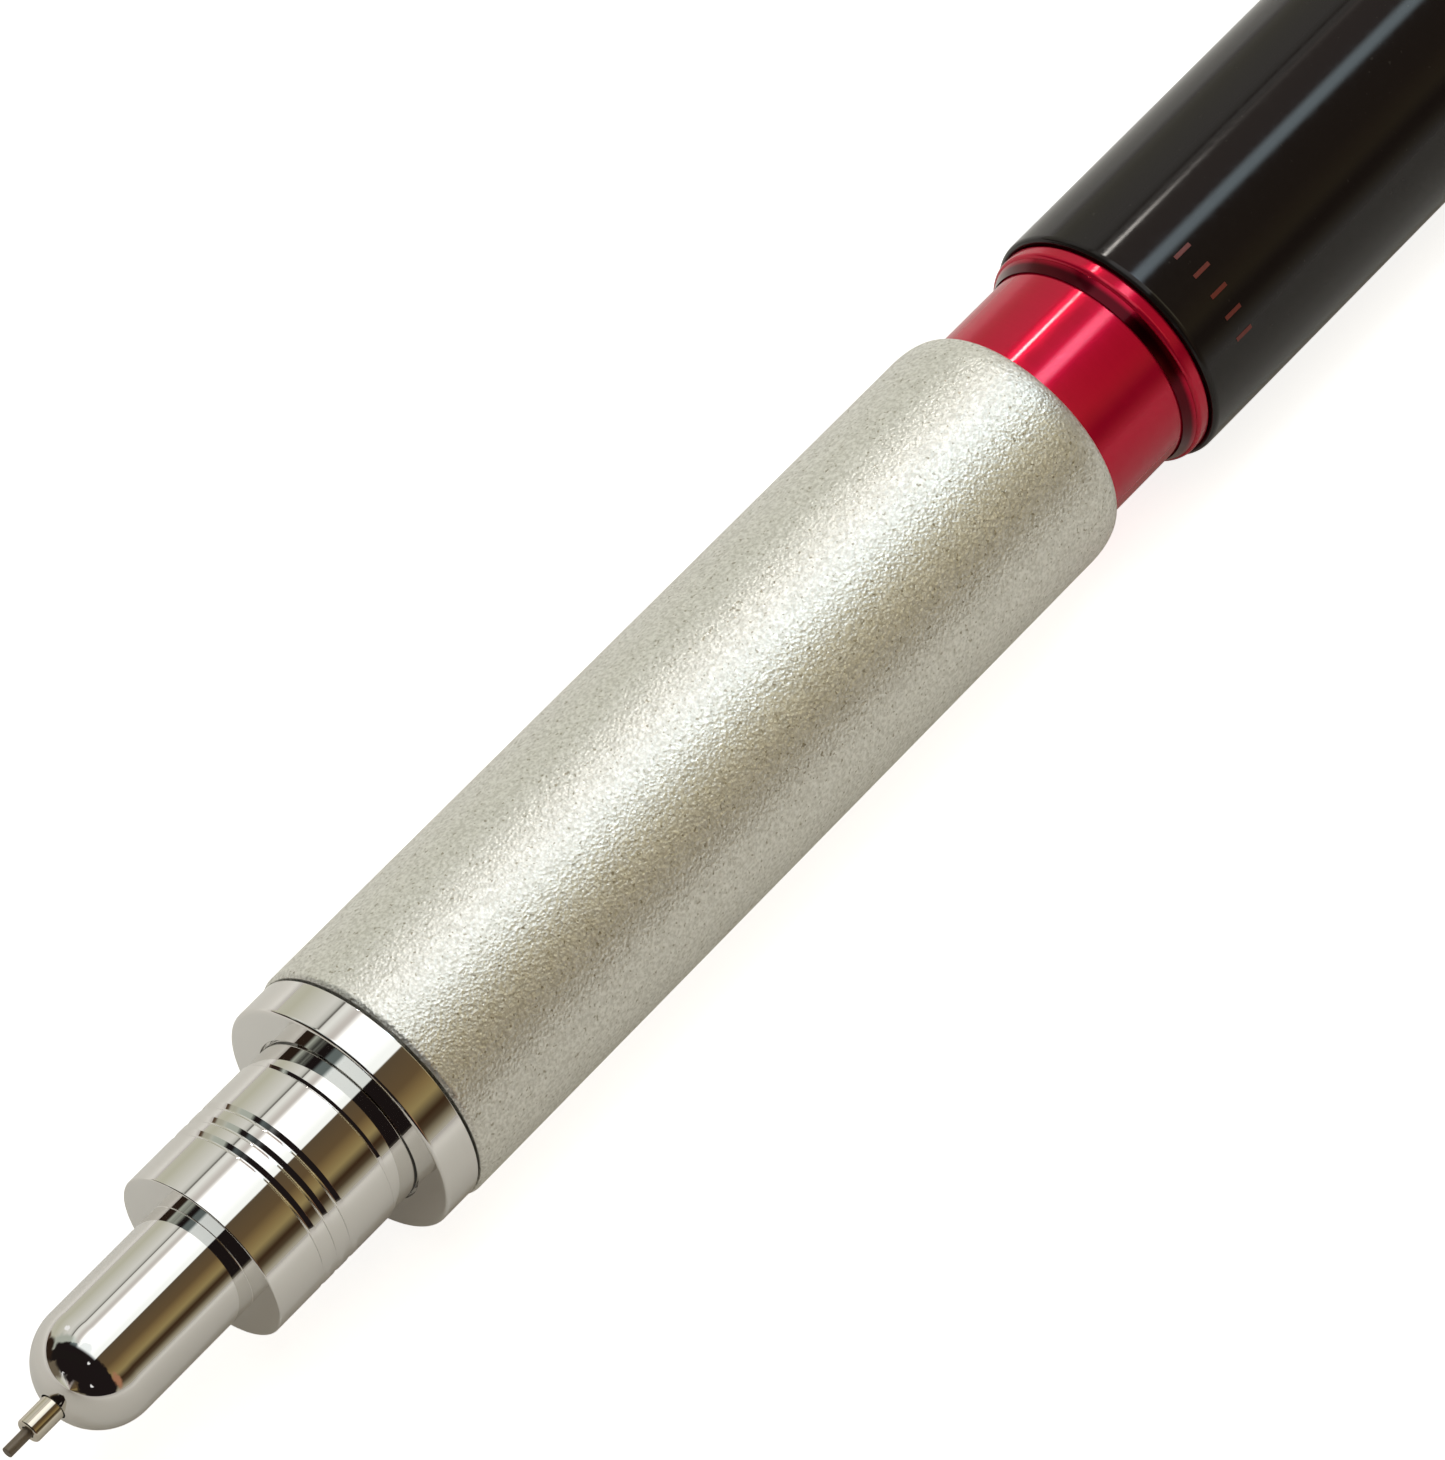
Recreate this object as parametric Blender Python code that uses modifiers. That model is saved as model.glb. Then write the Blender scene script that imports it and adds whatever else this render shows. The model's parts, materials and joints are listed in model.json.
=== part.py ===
"""Fine-lead drafting pencil (lead holder), modelled piece by piece as it comes apart on a bench.

The front shell (nose, collar, grip and red shift sleeve) slides back over a fixed guide pipe and turns to
lock. The push button works a collet that feeds the lead. The pencil lies along X, point towards -X,
resting on its barrel and on the clip, with +Z up and the origin under the middle of its bounding box.

Lengths are millimetres until they reach Blender. A place along the pencil is its distance from the
point of the lead, and a radius is measured from the pencil's axis.
"""

import math

import bmesh
import bpy
from mathutils import Matrix, Vector

MM = 0.001

# Driving dimensions
LENGTH = 147.0
GRIP_R = 5.40
COLLAR_R = 5.28
MID_R = 3.80
TUBE_R = 2.46
SLEEVE_R = 4.67
BARREL_FRONT_R = 5.40
BARREL_BACK_R = 5.45
PIPE_R = 0.52
LEAD_R = 0.225
LEAD_LENGTH = 60.0

# Travels, as the joints in the record have them
SHIFT = 4.4
TWIST = math.radians(35)

# Clearances
RUNNING = 0.10
SNUG = 0.05

# Places along the pencil
PIPE_TIP = 1.10
DOME_CENTRE = 4.86
SHOULDER = 10.46
GROOVES = (12.99, 13.73, 14.47)
GROOVE_HALF = 0.17
GROOVE_DEPTH = 0.12
NECK = 16.77
COLLAR_FRONT = 17.99
COLLAR_SEAT = 18.29
COLLAR_BACK = 19.70
NOSE_BACK = 27.0
GRIP_FRONT = COLLAR_BACK + RUNNING
SLEEVE_FRONT = 49.7
CORE_BACK = 56.5
GRIP_BACK = 57.60
LIP_FRONT = 62.05
MOUTH = 63.26
LINER_BACK = 70.0
PIN_PLACE = 73.5
SLEEVE_BACK = 76.0
GUIDE_FLANGE = 84.3
BARREL_BACK = 121.0
BAND_FRONT = BARREL_BACK + RUNNING
BAND_BACK = 124.1
FERRULE_FRONT = BAND_BACK + RUNNING
FERRULE_BACK = 132.4
BUTTON_FRONT = 128.4

# Radii inside
NOSE_BORE_R = 1.75
CASE_R = 2.45
CASE_BORE_R = 2.10
GUIDE_R = 3.20
TAIL_R = 3.15
NECK_R = 3.74
CORE_R = 4.70
CORE_BORE_R = 2.95
SLEEVE_BORE_R = 4.30
SLEEVE_RIM_R = 4.90
PIN_R = 0.45
LINER_R = 4.96
TANG_R = 4.40
LEAD_TUBE_R = 1.75
BUTTON_R = 3.30

# The clip, in its own plane: how far its line lies from the axis, at places along the pencil
CLIP_LINE = (
    (123.5, 6.60),
    (121.2, 6.60),
    (119.2, 6.98),
    (116.0, 7.16),
    (108.0, 6.98),
    (92.6, 6.18),
    (89.8, 5.96),
    (88.2, 6.02),
    (86.6, 6.52),
    (85.4, 7.02),
)
CLIP_THICKNESS = 0.62
CLIP_HALF_WIDTH = 1.5
CLIP_PIVOT = (122.2, 6.60)
LUG_TOP = 7.30
LUG_HALF_WIDTH = 2.10
LUG_CHAMFER = 0.60

# Facets of a turned piece
WIDE = 32
NARROW = 20
TINY = 12

# How the pencil lies: turned about its axis until the lug's chamfered corner touches the floor
AXIS_Z = BARREL_BACK_R
LUG_CORNER = (LUG_TOP - LUG_CHAMFER, LUG_HALF_WIDTH)
LIE = math.asin(AXIS_Z / math.hypot(*LUG_CORNER)) - math.atan2(LUG_CORNER[1], LUG_CORNER[0])
CLIP_TOP = max(radius for _, radius in CLIP_LINE) + CLIP_THICKNESS / 2
CLIP_REACH = CLIP_TOP * math.cos(LIE) + CLIP_HALF_WIDTH * math.sin(LIE)
AXIS_Y = (BARREL_BACK_R - CLIP_REACH) / 2

COLOURS = {
    "chrome": ((0.80, 0.79, 0.77), 0.08, 1.0),
    "satin": ((0.70, 0.68, 0.62), 0.34, 1.0),
    "crimson": ((0.36, 0.02, 0.04), 0.18, 1.0),
    "black": ((0.020, 0.017, 0.015), 0.14, 0.0),
    "steel": ((0.62, 0.61, 0.58), 0.22, 1.0),
    "brass": ((0.72, 0.53, 0.26), 0.28, 1.0),
    "clear": ((0.75, 0.78, 0.78), 0.25, 0.0),
    "nylon": ((0.78, 0.77, 0.72), 0.45, 0.0),
    "rubber": ((0.05, 0.05, 0.05), 0.75, 0.0),
    "eraser": ((0.85, 0.84, 0.80), 0.80, 0.0),
    "graphite": ((0.045, 0.043, 0.042), 0.42, 0.0),
}


def clear_scene():
    for obj in list(bpy.data.objects):
        bpy.data.objects.remove(obj, do_unlink=True)


def new_collection(name):
    collection = bpy.data.collections.new(name)
    bpy.context.scene.collection.children.link(collection)
    return collection


def new_empty(name, matrix):
    empty = bpy.data.objects.new(name, None)
    empty.empty_display_size = 0.005
    empty.matrix_world = matrix
    PARTS.objects.link(empty)
    return empty


def lying_matrix():
    """Local Z runs along the pencil towards the button, and local X points through the clip."""
    out = Vector((0, math.cos(LIE), -math.sin(LIE)))
    along = Vector((1, 0, 0))
    side = along.cross(out)
    turn = Matrix((out, side, along)).transposed().to_4x4()
    place = Vector((-LENGTH / 2, AXIS_Y, AXIS_Z)) * MM
    return Matrix.Translation(place) @ turn


def paint(obj, look):
    colour, roughness, metallic = COLOURS[look]
    material = bpy.data.materials.new(obj.name)
    material.use_nodes = True
    shader = material.node_tree.nodes["Principled BSDF"]
    shader.inputs["Base Color"].default_value = (*colour, 1)
    shader.inputs["Roughness"].default_value = roughness
    shader.inputs["Metallic"].default_value = metallic
    obj.data.materials.append(material)


def place(obj, collection, parent):
    collection.objects.link(obj)
    obj.parent = parent
    return obj


def screw(obj, facets, angle=2 * math.pi):
    turn = obj.modifiers.new("Turn", "SCREW")
    turn.axis = "Z"
    turn.angle = angle
    turn.steps = facets
    turn.render_steps = facets
    turn.use_merge_vertices = angle == 2 * math.pi
    turn.merge_threshold = 0.000001


def turned(name, look, outer, inner=(), facets=WIDE):
    """A turned piece. outer and inner are (place, radius) points from front to back. With no inner the
    piece is solid to its axis, and a blind hole's outer and inner both end on the axis."""
    outline = list(reversed(outer)) + list(inner)
    if not inner:
        outline = [(outer[-1][0], 0.0)] + outline + [(outer[0][0], 0.0)]
    mesh = bpy.data.meshes.new(name)
    points = [(radius * MM, 0, along * MM) for along, radius in outline]
    edges = [(i, i + 1) for i in range(len(points) - 1)]
    if outline[0][1] > 0:
        edges.append((len(points) - 1, 0))
    mesh.from_pydata(points, edges, [])
    obj = place(bpy.data.objects.new(name, mesh), PARTS, AXIS)
    screw(obj, facets)
    paint(obj, look)
    return obj


def arc(centre, radius, start, stop, steps, flat=1.0):
    """Points (place, radius) on an arc about centre. Angles are degrees from the forward direction,
    outwards; flat scales the arc along the pencil."""
    points = []
    for i in range(steps + 1):
        angle = math.radians(start + (stop - start) * i / steps)
        along = centre[0] - flat * radius * math.cos(angle)
        points.append((along, centre[1] + radius * math.sin(angle)))
    return points


def helper(obj):
    """A cutter, which is neither rendered nor read as a piece."""
    obj.hide_render = True
    obj.display_type = "WIRE"
    return obj


def block(name, low, high, collection, parent):
    """A box between two corners, each (x, y, place)."""
    mesh = bpy.data.meshes.new(name)
    form = bmesh.new()
    bmesh.ops.create_cube(form, size=1.0)
    low, high = Vector(low), Vector(high)
    size = high - low
    middle = (high + low) / 2
    for vert in form.verts:
        vert.co = Vector([c * s for c, s in zip(vert.co, size)]) + middle
        vert.co *= MM
    form.to_mesh(mesh)
    form.free()
    return place(bpy.data.objects.new(name, mesh), collection, parent)


def rod(name, radius, length, facets, collection, parent, matrix):
    """A plain cylinder centred on its own origin, set by matrix under its parent."""
    mesh = bpy.data.meshes.new(name)
    form = bmesh.new()
    bmesh.ops.create_cone(
        form,
        cap_ends=True,
        segments=facets,
        radius1=radius * MM,
        radius2=radius * MM,
        depth=length * MM,
    )
    form.to_mesh(mesh)
    form.free()
    obj = place(bpy.data.objects.new(name, mesh), collection, parent)
    obj.matrix_local = matrix
    return obj


def cut(obj, cutter, operation="DIFFERENCE"):
    change = obj.modifiers.new(cutter.name, "BOOLEAN")
    change.operation = operation
    change.solver = "EXACT"
    change.object = cutter


def baked(obj):
    """The object with its modifiers applied, its loose caps welded and its smooth faces shaded smooth."""
    graph = bpy.context.evaluated_depsgraph_get()
    mesh = bpy.data.meshes.new_from_object(obj.evaluated_get(graph))
    form = bmesh.new()
    form.from_mesh(mesh)
    bmesh.ops.remove_doubles(form, verts=form.verts, dist=0.0000005)
    form.to_mesh(mesh)
    form.free()
    new = bpy.data.objects.new(obj.name, mesh)
    for collection in obj.users_collection:
        collection.objects.link(new)
    new.parent = obj.parent
    new.matrix_parent_inverse = obj.matrix_parent_inverse
    new.matrix_basis = obj.matrix_basis
    name = obj.name
    bpy.data.objects.remove(obj, do_unlink=True)
    new.name = name
    new.data.shade_smooth()
    new.data.set_sharp_from_angle(angle=math.radians(32))
    return new


def nose_cone():
    """The chrome front: domed tube, stepped middle with its turned grooves, and threaded tail."""
    hole = PIPE_R + SNUG
    dome = arc((DOME_CENTRE, 0), TUBE_R, math.degrees(math.asin(hole / TUBE_R)), 90, 7)
    middle = [(SHOULDER, TUBE_R), (SHOULDER, MID_R - 0.04), (SHOULDER + 0.04, MID_R)]
    for groove in GROOVES:
        middle += [
            (groove - GROOVE_HALF, MID_R),
            (groove - GROOVE_HALF / 2, MID_R - GROOVE_DEPTH),
            (groove + GROOVE_HALF, MID_R),
        ]
    neck = [
        (NECK - 0.06, MID_R),
        (NECK, NECK_R - 0.06),
        (NECK + 0.06, NECK_R),
        (COLLAR_SEAT - SNUG, NECK_R),
    ]
    tail = [(COLLAR_SEAT - SNUG, TAIL_R)]
    root = TAIL_R - 0.2
    for ridge in range(4):
        start = COLLAR_BACK + 1.2 + 1.5 * ridge
        tail += [(start, TAIL_R), (start + 0.3, root), (start + 0.8, root), (start + 1.1, TAIL_R)]
    tail.append((NOSE_BACK, TAIL_R))
    bore = [
        (DOME_CENTRE - 1.6, hole),
        (DOME_CENTRE - 0.6, NOSE_BORE_R),
        (SHOULDER + 1.1, NOSE_BORE_R),
        (SHOULDER + 1.6, CASE_R + 2 * RUNNING),
        (NOSE_BACK, CASE_R + 2 * RUNNING),
    ]
    return turned("nose_cone", "chrome", dome + middle + neck + tail, bore)


def nose_collar():
    """The chrome ring behind the nose, counterbored so that the nose's neck seats inside it."""
    outer = [
        (COLLAR_FRONT, COLLAR_R - 0.2),
        (COLLAR_FRONT + 0.05, COLLAR_R - 0.07),
        (COLLAR_FRONT + 0.18, COLLAR_R),
        (COLLAR_BACK - 0.06, COLLAR_R),
        (COLLAR_BACK, COLLAR_R - 0.06),
    ]
    inner = [
        (COLLAR_FRONT, NECK_R + RUNNING),
        (COLLAR_SEAT, NECK_R + RUNNING),
        (COLLAR_SEAT, TAIL_R + RUNNING),
        (COLLAR_BACK, TAIL_R + RUNNING),
    ]
    return turned("nose_collar", "chrome", outer, inner)


def grip_sleeve():
    bore = CORE_R + RUNNING
    drop = 0.48
    outer = [(GRIP_FRONT, COLLAR_R - 0.02)]
    outer += arc((GRIP_FRONT + 0.3, GRIP_R - 0.12), 0.12, 20, 90, 3, flat=2.5)
    outer += arc((GRIP_BACK - 3 * drop, GRIP_R - drop), drop, 90, 180, 5, flat=3)
    inner = [(GRIP_FRONT, bore), (GRIP_BACK, bore)]
    return turned("grip_sleeve", "satin", outer, inner)


def grip_core():
    """The tube under the grip: it takes the nose's thread in front and the shift sleeve behind."""
    step = SLEEVE_FRONT - RUNNING
    spigot = SLEEVE_BORE_R - RUNNING
    outer = [(GRIP_FRONT + SNUG, CORE_R), (step, CORE_R), (step, spigot), (CORE_BACK, spigot)]
    inner = [
        (GRIP_FRONT + SNUG, TAIL_R + RUNNING),
        (NOSE_BACK + 1.0, TAIL_R + RUNNING),
        (NOSE_BACK + 1.0, CORE_BORE_R),
        (CORE_BACK, CORE_BORE_R),
    ]
    return turned("grip_core", "brass", outer, inner)


def shift_sleeve():
    """The crimson sleeve that slides in the barrel's mouth, with a stop rim and an arc slot for the pin."""
    rim = LINER_BACK + RUNNING
    outer = [
        (SLEEVE_FRONT, SLEEVE_R),
        (rim, SLEEVE_R),
        (rim, SLEEVE_RIM_R),
        (rim + 1.0, SLEEVE_RIM_R),
        (rim + 1.0, SLEEVE_R),
        (SLEEVE_BACK, SLEEVE_R),
    ]
    inner = [(SLEEVE_FRONT, SLEEVE_BORE_R), (SLEEVE_BACK, SLEEVE_BORE_R)]
    sleeve = turned("shift_sleeve", "crimson", outer, inner)
    cut(sleeve, pin_slot())
    return sleeve


def pin_slot():
    """A curved block: the pin's half-width and clearance beyond the twist, at each end."""
    mesh = bpy.data.meshes.new("pin_slot")
    half = PIN_R + RUNNING
    middle = (SLEEVE_BORE_R + SLEEVE_R) / 2
    edge = [(middle * MM, 0, (PIN_PLACE + end) * MM) for end in (-half, half)]
    mesh.from_pydata(edge, [(0, 1)], [])
    slot = place(bpy.data.objects.new("pin_slot", mesh), CUTTERS, AXIS)
    margin = 2 * math.asin(half / middle)
    sweep = TWIST + margin
    screw(slot, 10, sweep)
    # The sleeve turns forwards about the axis, so the pin runs backwards in the slot.
    slot.rotation_euler = (0, 0, math.radians(180) + margin / 2 - sweep)
    wall = slot.modifiers.new("Wall", "SOLIDIFY")
    wall.thickness = 0.9 * MM
    wall.offset = 0
    return helper(slot)


def mouth_ring():
    """The crimson liner of the barrel's mouth: a flared cove in front, and a rounded bead behind it."""
    bore = SLEEVE_R + 0.06
    lip = 5.13
    cove = 0.52
    bead = 0.20
    outer = [(LIP_FRONT, bore + 0.05), (LIP_FRONT + 0.22, bore + 0.08)]
    outer += arc((LIP_FRONT + cove + bead, lip - bead), bead, 0, 90, 5)
    outer += [(MOUTH - SNUG, lip), (MOUTH - SNUG, LINER_R), (LINER_BACK, LINER_R)]
    inner = [(LIP_FRONT, bore), (LINER_BACK, bore)]
    return turned("mouth_ring", "crimson", outer, inner)


def barrel():
    """The black barrel, slightly fuller at the back, with a wide bore in front and a narrower one behind."""
    rim = 0.20
    outer = arc((MOUTH + 2.5 * rim, BARREL_FRONT_R - rim), rim, 0, 90, 4, flat=2.5)
    outer.append((BARREL_BACK - 0.25, BARREL_BACK_R))
    outer.append((BARREL_BACK, BARREL_BACK_R - 0.15))
    inner = [
        (MOUTH, LINER_R + SNUG),
        (GUIDE_FLANGE + 2.2, LINER_R + SNUG),
        (GUIDE_FLANGE + 2.2, TANG_R + RUNNING),
        (BARREL_BACK, TANG_R + RUNNING),
    ]
    return turned("barrel", "black", outer, inner)


def guide_pipe():
    tip = [(PIPE_TIP, 0.40), (PIPE_TIP + 0.06, 0.48), (PIPE_TIP + 0.18, PIPE_R)]
    outer = tip + [(13.0, PIPE_R)]
    bore = LEAD_R + 0.04
    inner = [(PIPE_TIP, bore), (13.0, bore)]
    return turned("guide_pipe", "steel", outer, inner, NARROW)


def pipe_holder():
    """The brass plug that carries the guide pipe and closes the front of the mechanism's case."""
    outer = [
        (10.2, 1.15),
        (10.65, 1.60),
        (16.5, 1.60),
        (16.5, CASE_R),
        (18.0, CASE_R),
        (18.0, CASE_BORE_R - SNUG),
        (19.2, CASE_BORE_R - SNUG),
    ]
    inner = [
        (10.2, PIPE_R + SNUG),
        (13.1, PIPE_R + SNUG),
        (13.1, LEAD_R + 0.1),
        (14.2, LEAD_R + 0.1),
        (14.2, 1.15),
        (16.6, 1.15),
        (17.0, 1.45),
        (19.2, 1.45),
    ]
    return turned("pipe_holder", "brass", outer, inner, NARROW)


def lead_retainer():
    outer = [(14.3, 0.95), (14.6, 1.10), (16.2, 1.10)]
    inner = [(14.3, LEAD_R + 0.025), (16.2, LEAD_R + 0.025)]
    return turned("lead_retainer", "rubber", outer, inner, TINY)


def mechanism_case():
    """The tube round the collet: a shoulder inside seats the spring, and a collar outside meets the guide."""
    outer = [(18.1, CASE_R), (61.9, CASE_R), (61.9, 3.0), (62.9, 3.0), (62.9, CASE_R), (66.0, CASE_R)]
    inner = [
        (18.1, CASE_BORE_R),
        (24.1, CASE_BORE_R),
        (24.1, 0.95),
        (25.2, 0.95),
        (25.2, CASE_BORE_R),
        (66.0, CASE_BORE_R),
    ]
    return turned("mechanism_case", "nylon", outer, inner, NARROW)


def chuck():
    """The slit collet: three jaws on a stem."""
    outer = [(20.6, 0.85), (20.75, 1.18), (21.6, 1.18), (23.3, 0.92), (23.5, 0.75), (36.0, 0.75)]
    inner = [(20.6, LEAD_R + 0.02), (23.5, LEAD_R + 0.02), (24.0, 0.40), (36.0, 0.40)]
    collet = turned("chuck", "brass", outer, inner, NARROW)
    for jaw in range(3):
        slit = block(f"chuck_slit_{jaw}", (0.02, -0.09, 20.0), (1.6, 0.09, 30.0), CUTTERS, AXIS)
        slit.rotation_euler = (0, 0, math.radians(120 * jaw + 30))
        cut(collet, helper(slit))
    return collet


def clutch_ring():
    outer = [(20.8, 1.70), (20.95, 1.85), (22.9, 1.85), (23.05, 1.70)]
    inner = [(20.8, 1.26), (23.05, 1.26)]
    return turned("clutch_ring", "brass", outer, inner, NARROW)


def chuck_connector():
    """It joins the collet to the lead tube, and its flange takes the spring."""
    outer = [(34.3, LEAD_TUBE_R), (37.4, LEAD_TUBE_R), (37.4, 1.25), (41.0, 1.25)]
    inner = [(34.3, 0.80), (36.6, 0.80), (36.9, 0.45), (40.2, 0.45), (41.0, 0.90)]
    return turned("chuck_connector", "brass", outer, inner, NARROW)


def lead_tube():
    """The magazine: a long tube with a wider seat for the eraser holder at its back."""
    outer = [(37.5, LEAD_TUBE_R), (128.9, LEAD_TUBE_R), (129.6, 2.60), (137.2, 2.60)]
    inner = [(37.5, 1.30), (129.7, 1.30), (130.4, 2.15), (137.2, 2.15)]
    return turned("lead_tube", "clear", outer, inner, NARROW)


def coil(name, look, start, stop, mean_radius, wire_radius, turns, per_turn):
    """A compression spring as one poly spline, its wire inside start and stop."""
    curve = bpy.data.curves.new(name, "CURVE")
    curve.dimensions = "3D"
    curve.bevel_depth = wire_radius * MM
    curve.bevel_resolution = 2
    curve.use_fill_caps = True
    spline = curve.splines.new("POLY")
    count = turns * per_turn + 1
    spline.points.add(count - 1)
    low, high = start + wire_radius, stop - wire_radius
    for i in range(count):
        angle = 2 * math.pi * i / per_turn
        along = low + (high - low) * i / (count - 1)
        point = Vector((mean_radius * math.cos(angle), mean_radius * math.sin(angle), along)) * MM
        spline.points[i].co = (*point, 1)
    obj = place(bpy.data.objects.new(name, curve), PARTS, AXIS)
    paint(obj, look)
    return obj


def shift_guide():
    """The tube in the barrel that the lock ring slides on, slotted for its pin and flanged behind."""
    outer = [
        (63.0, GUIDE_R),
        (GUIDE_FLANGE, GUIDE_R),
        (GUIDE_FLANGE, LINER_R),
        (GUIDE_FLANGE + 2.0, LINER_R),
    ]
    inner = [(63.0, CASE_R + RUNNING), (GUIDE_FLANGE + 2.0, CASE_R + RUNNING)]
    guide = turned("shift_guide", "steel", outer, inner)
    half = PIN_R + RUNNING
    low = (-4.0, -half, PIN_PLACE - half)
    high = (-2.0, half, PIN_PLACE + SHIFT + half)
    cut(guide, helper(block("guide_slot", low, high, CUTTERS, AXIS)))
    return guide


def lock_ring():
    outer = [(72.0, 4.05), (72.15, 4.20), (75.0, 4.20)]
    inner = [(72.0, GUIDE_R + RUNNING), (75.0, GUIDE_R + RUNNING)]
    ring = turned("lock_ring", "steel", outer, inner)
    cut(ring, helper(rod("pin_hole", PIN_R + SNUG, 3.0, TINY, CUTTERS, AXIS, across(-3.75))))
    return ring


def lock_pin():
    pin = rod("lock_pin", PIN_R, 1.84, TINY, PARTS, AXIS, across(-3.68))
    paint(pin, "steel")
    return pin


def across(middle):
    """A cylinder's matrix at the pin's place, its length along the clip's plane, opposite the clip."""
    return Matrix.Translation(Vector((middle, 0, PIN_PLACE)) * MM) @ Matrix.Rotation(math.pi / 2, 4, "Y")


def clip_band():
    """The chromed band between barrel and ferrule, with the slotted lug that holds the clip."""
    outer = [(BAND_FRONT, 5.30), (BAND_FRONT + 0.15, BARREL_BACK_R)]
    outer += [(BAND_BACK - 0.15, BARREL_BACK_R), (BAND_BACK, 5.30)]
    inner = [(BAND_FRONT, TANG_R + RUNNING), (BAND_BACK, TANG_R + RUNNING)]
    band = turned("clip_band", "chrome", outer, inner)
    cut(band, clip_lug(), "UNION")
    low = (6.08, -CLIP_HALF_WIDTH - 0.12, BAND_FRONT - 1.0)
    high = (7.10, CLIP_HALF_WIDTH + 0.12, BAND_BACK - 0.4)
    cut(band, helper(block("clip_slot", low, high, CUTTERS, AXIS)))
    return band


def clip_lug():
    mesh = bpy.data.meshes.new("clip_lug")
    form = bmesh.new()
    corner = LUG_TOP - LUG_CHAMFER
    shoulder = LUG_HALF_WIDTH - LUG_CHAMFER
    outline = [
        (4.9, -LUG_HALF_WIDTH),
        (corner, -LUG_HALF_WIDTH),
        (LUG_TOP, -shoulder),
        (LUG_TOP, shoulder),
        (corner, LUG_HALF_WIDTH),
        (4.9, LUG_HALF_WIDTH),
    ]
    verts = [form.verts.new(Vector((x, y, BAND_FRONT + 0.1)) * MM) for x, y in outline]
    face = form.faces.new(verts)
    moved = bmesh.ops.extrude_face_region(form, geom=[face])
    up = Vector((0, 0, BAND_BACK - BAND_FRONT - 0.2)) * MM
    bmesh.ops.translate(form, vec=up, verts=[v for v in moved["geom"] if isinstance(v, bmesh.types.BMVert)])
    bmesh.ops.recalc_face_normals(form, faces=form.faces)
    form.to_mesh(mesh)
    form.free()
    return helper(place(bpy.data.objects.new("clip_lug", mesh), CUTTERS, AXIS))


def smooth_line(points, per_span):
    """Points on a Catmull-Rom curve through the given points."""
    points = [Vector(point) for point in points]
    ends = [points[0]] + points + [points[-1]]
    line = []
    for a, b, c, d in zip(ends, ends[1:], ends[2:], ends[3:]):
        slope = (c - a) / 2
        bend = a - 2.5 * b + 2 * c - d / 2
        twist = (3 * b - a - 3 * c + d) / 2
        for i in range(per_span):
            t = i / per_span
            line.append(b + t * (slope + t * (bend + t * twist)))
    line.append(points[-1])
    return line


def ribbon(line, thickness):
    """The closed outline of a strip of this thickness along the line."""
    sides = ([], [])
    for i, point in enumerate(line):
        ahead = line[min(i + 1, len(line) - 1)]
        behind = line[max(i - 1, 0)]
        along = (ahead - behind).normalized()
        normal = Vector((-along.y, along.x)) * thickness / 2
        sides[0].append(point + normal)
        sides[1].append(point - normal)
    return sides[0] + sides[1][::-1]


def clip_arm():
    """The sprung strip: its root sits in the lug, and its front end bends to the barrel and flares out."""
    line = [(along - CLIP_PIVOT[0], radius - CLIP_PIVOT[1]) for along, radius in CLIP_LINE]
    outline = ribbon(smooth_line(line, 3), CLIP_THICKNESS)
    curve = bpy.data.curves.new("clip_arm", "CURVE")
    curve.dimensions = "2D"
    curve.fill_mode = "BOTH"
    curve.extrude = CLIP_HALF_WIDTH * MM
    spline = curve.splines.new("POLY")
    spline.points.add(len(outline) - 1)
    for point, corner in zip(spline.points, outline):
        point.co = (corner.x * MM, corner.y * MM, 0, 1)
    spline.use_cyclic_u = True
    arm = place(bpy.data.objects.new("clip_arm", curve), PARTS, CLIP_AXIS)
    # The curve's X runs along the pencil and its Y outwards.
    arm.matrix_local = Matrix(((0, 1, 0), (0, 0, 1), (1, 0, 0))).to_4x4()
    paint(arm, "chrome")
    arm = baked(arm)
    edge = arm.modifiers.new("Edge", "BEVEL")
    edge.width = 0.12 * MM
    edge.segments = 1
    edge.limit_method = "ANGLE"
    edge.angle_limit = math.radians(50)
    return arm


def rear_ferrule():
    """The chromed tail of the barrel: a tang inside the barrel and a stepped, rounded sleeve behind."""
    outer = [(112.0, TANG_R), (FERRULE_FRONT, TANG_R), (FERRULE_FRONT, 5.15)]
    outer += arc((FERRULE_FRONT + 0.25, 5.15), 0.25, 40, 90, 2)
    outer += [(127.6, 5.40), (129.8, 5.10), (131.2, 4.62), (132.1, 4.15), (FERRULE_BACK, 3.85)]
    inner = [
        (112.0, 2.0),
        (124.9, 2.0),
        (124.9, BUTTON_R + RUNNING),
        (FERRULE_BACK, BUTTON_R + RUNNING),
    ]
    return turned("rear_ferrule", "chrome", outer, inner)


def eraser_holder():
    outer = [(131.0, 2.08), (138.6, 2.08)]
    inner = [(131.0, 1.45), (131.8, 1.45), (131.8, 1.90), (138.6, 1.90)]
    return turned("eraser_holder", "steel", outer, inner, NARROW)


def eraser():
    outer = [(132.0, 1.80), (143.2, 1.80), (143.5, 1.55)]
    return turned("eraser", "eraser", outer, (), NARROW)


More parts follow.
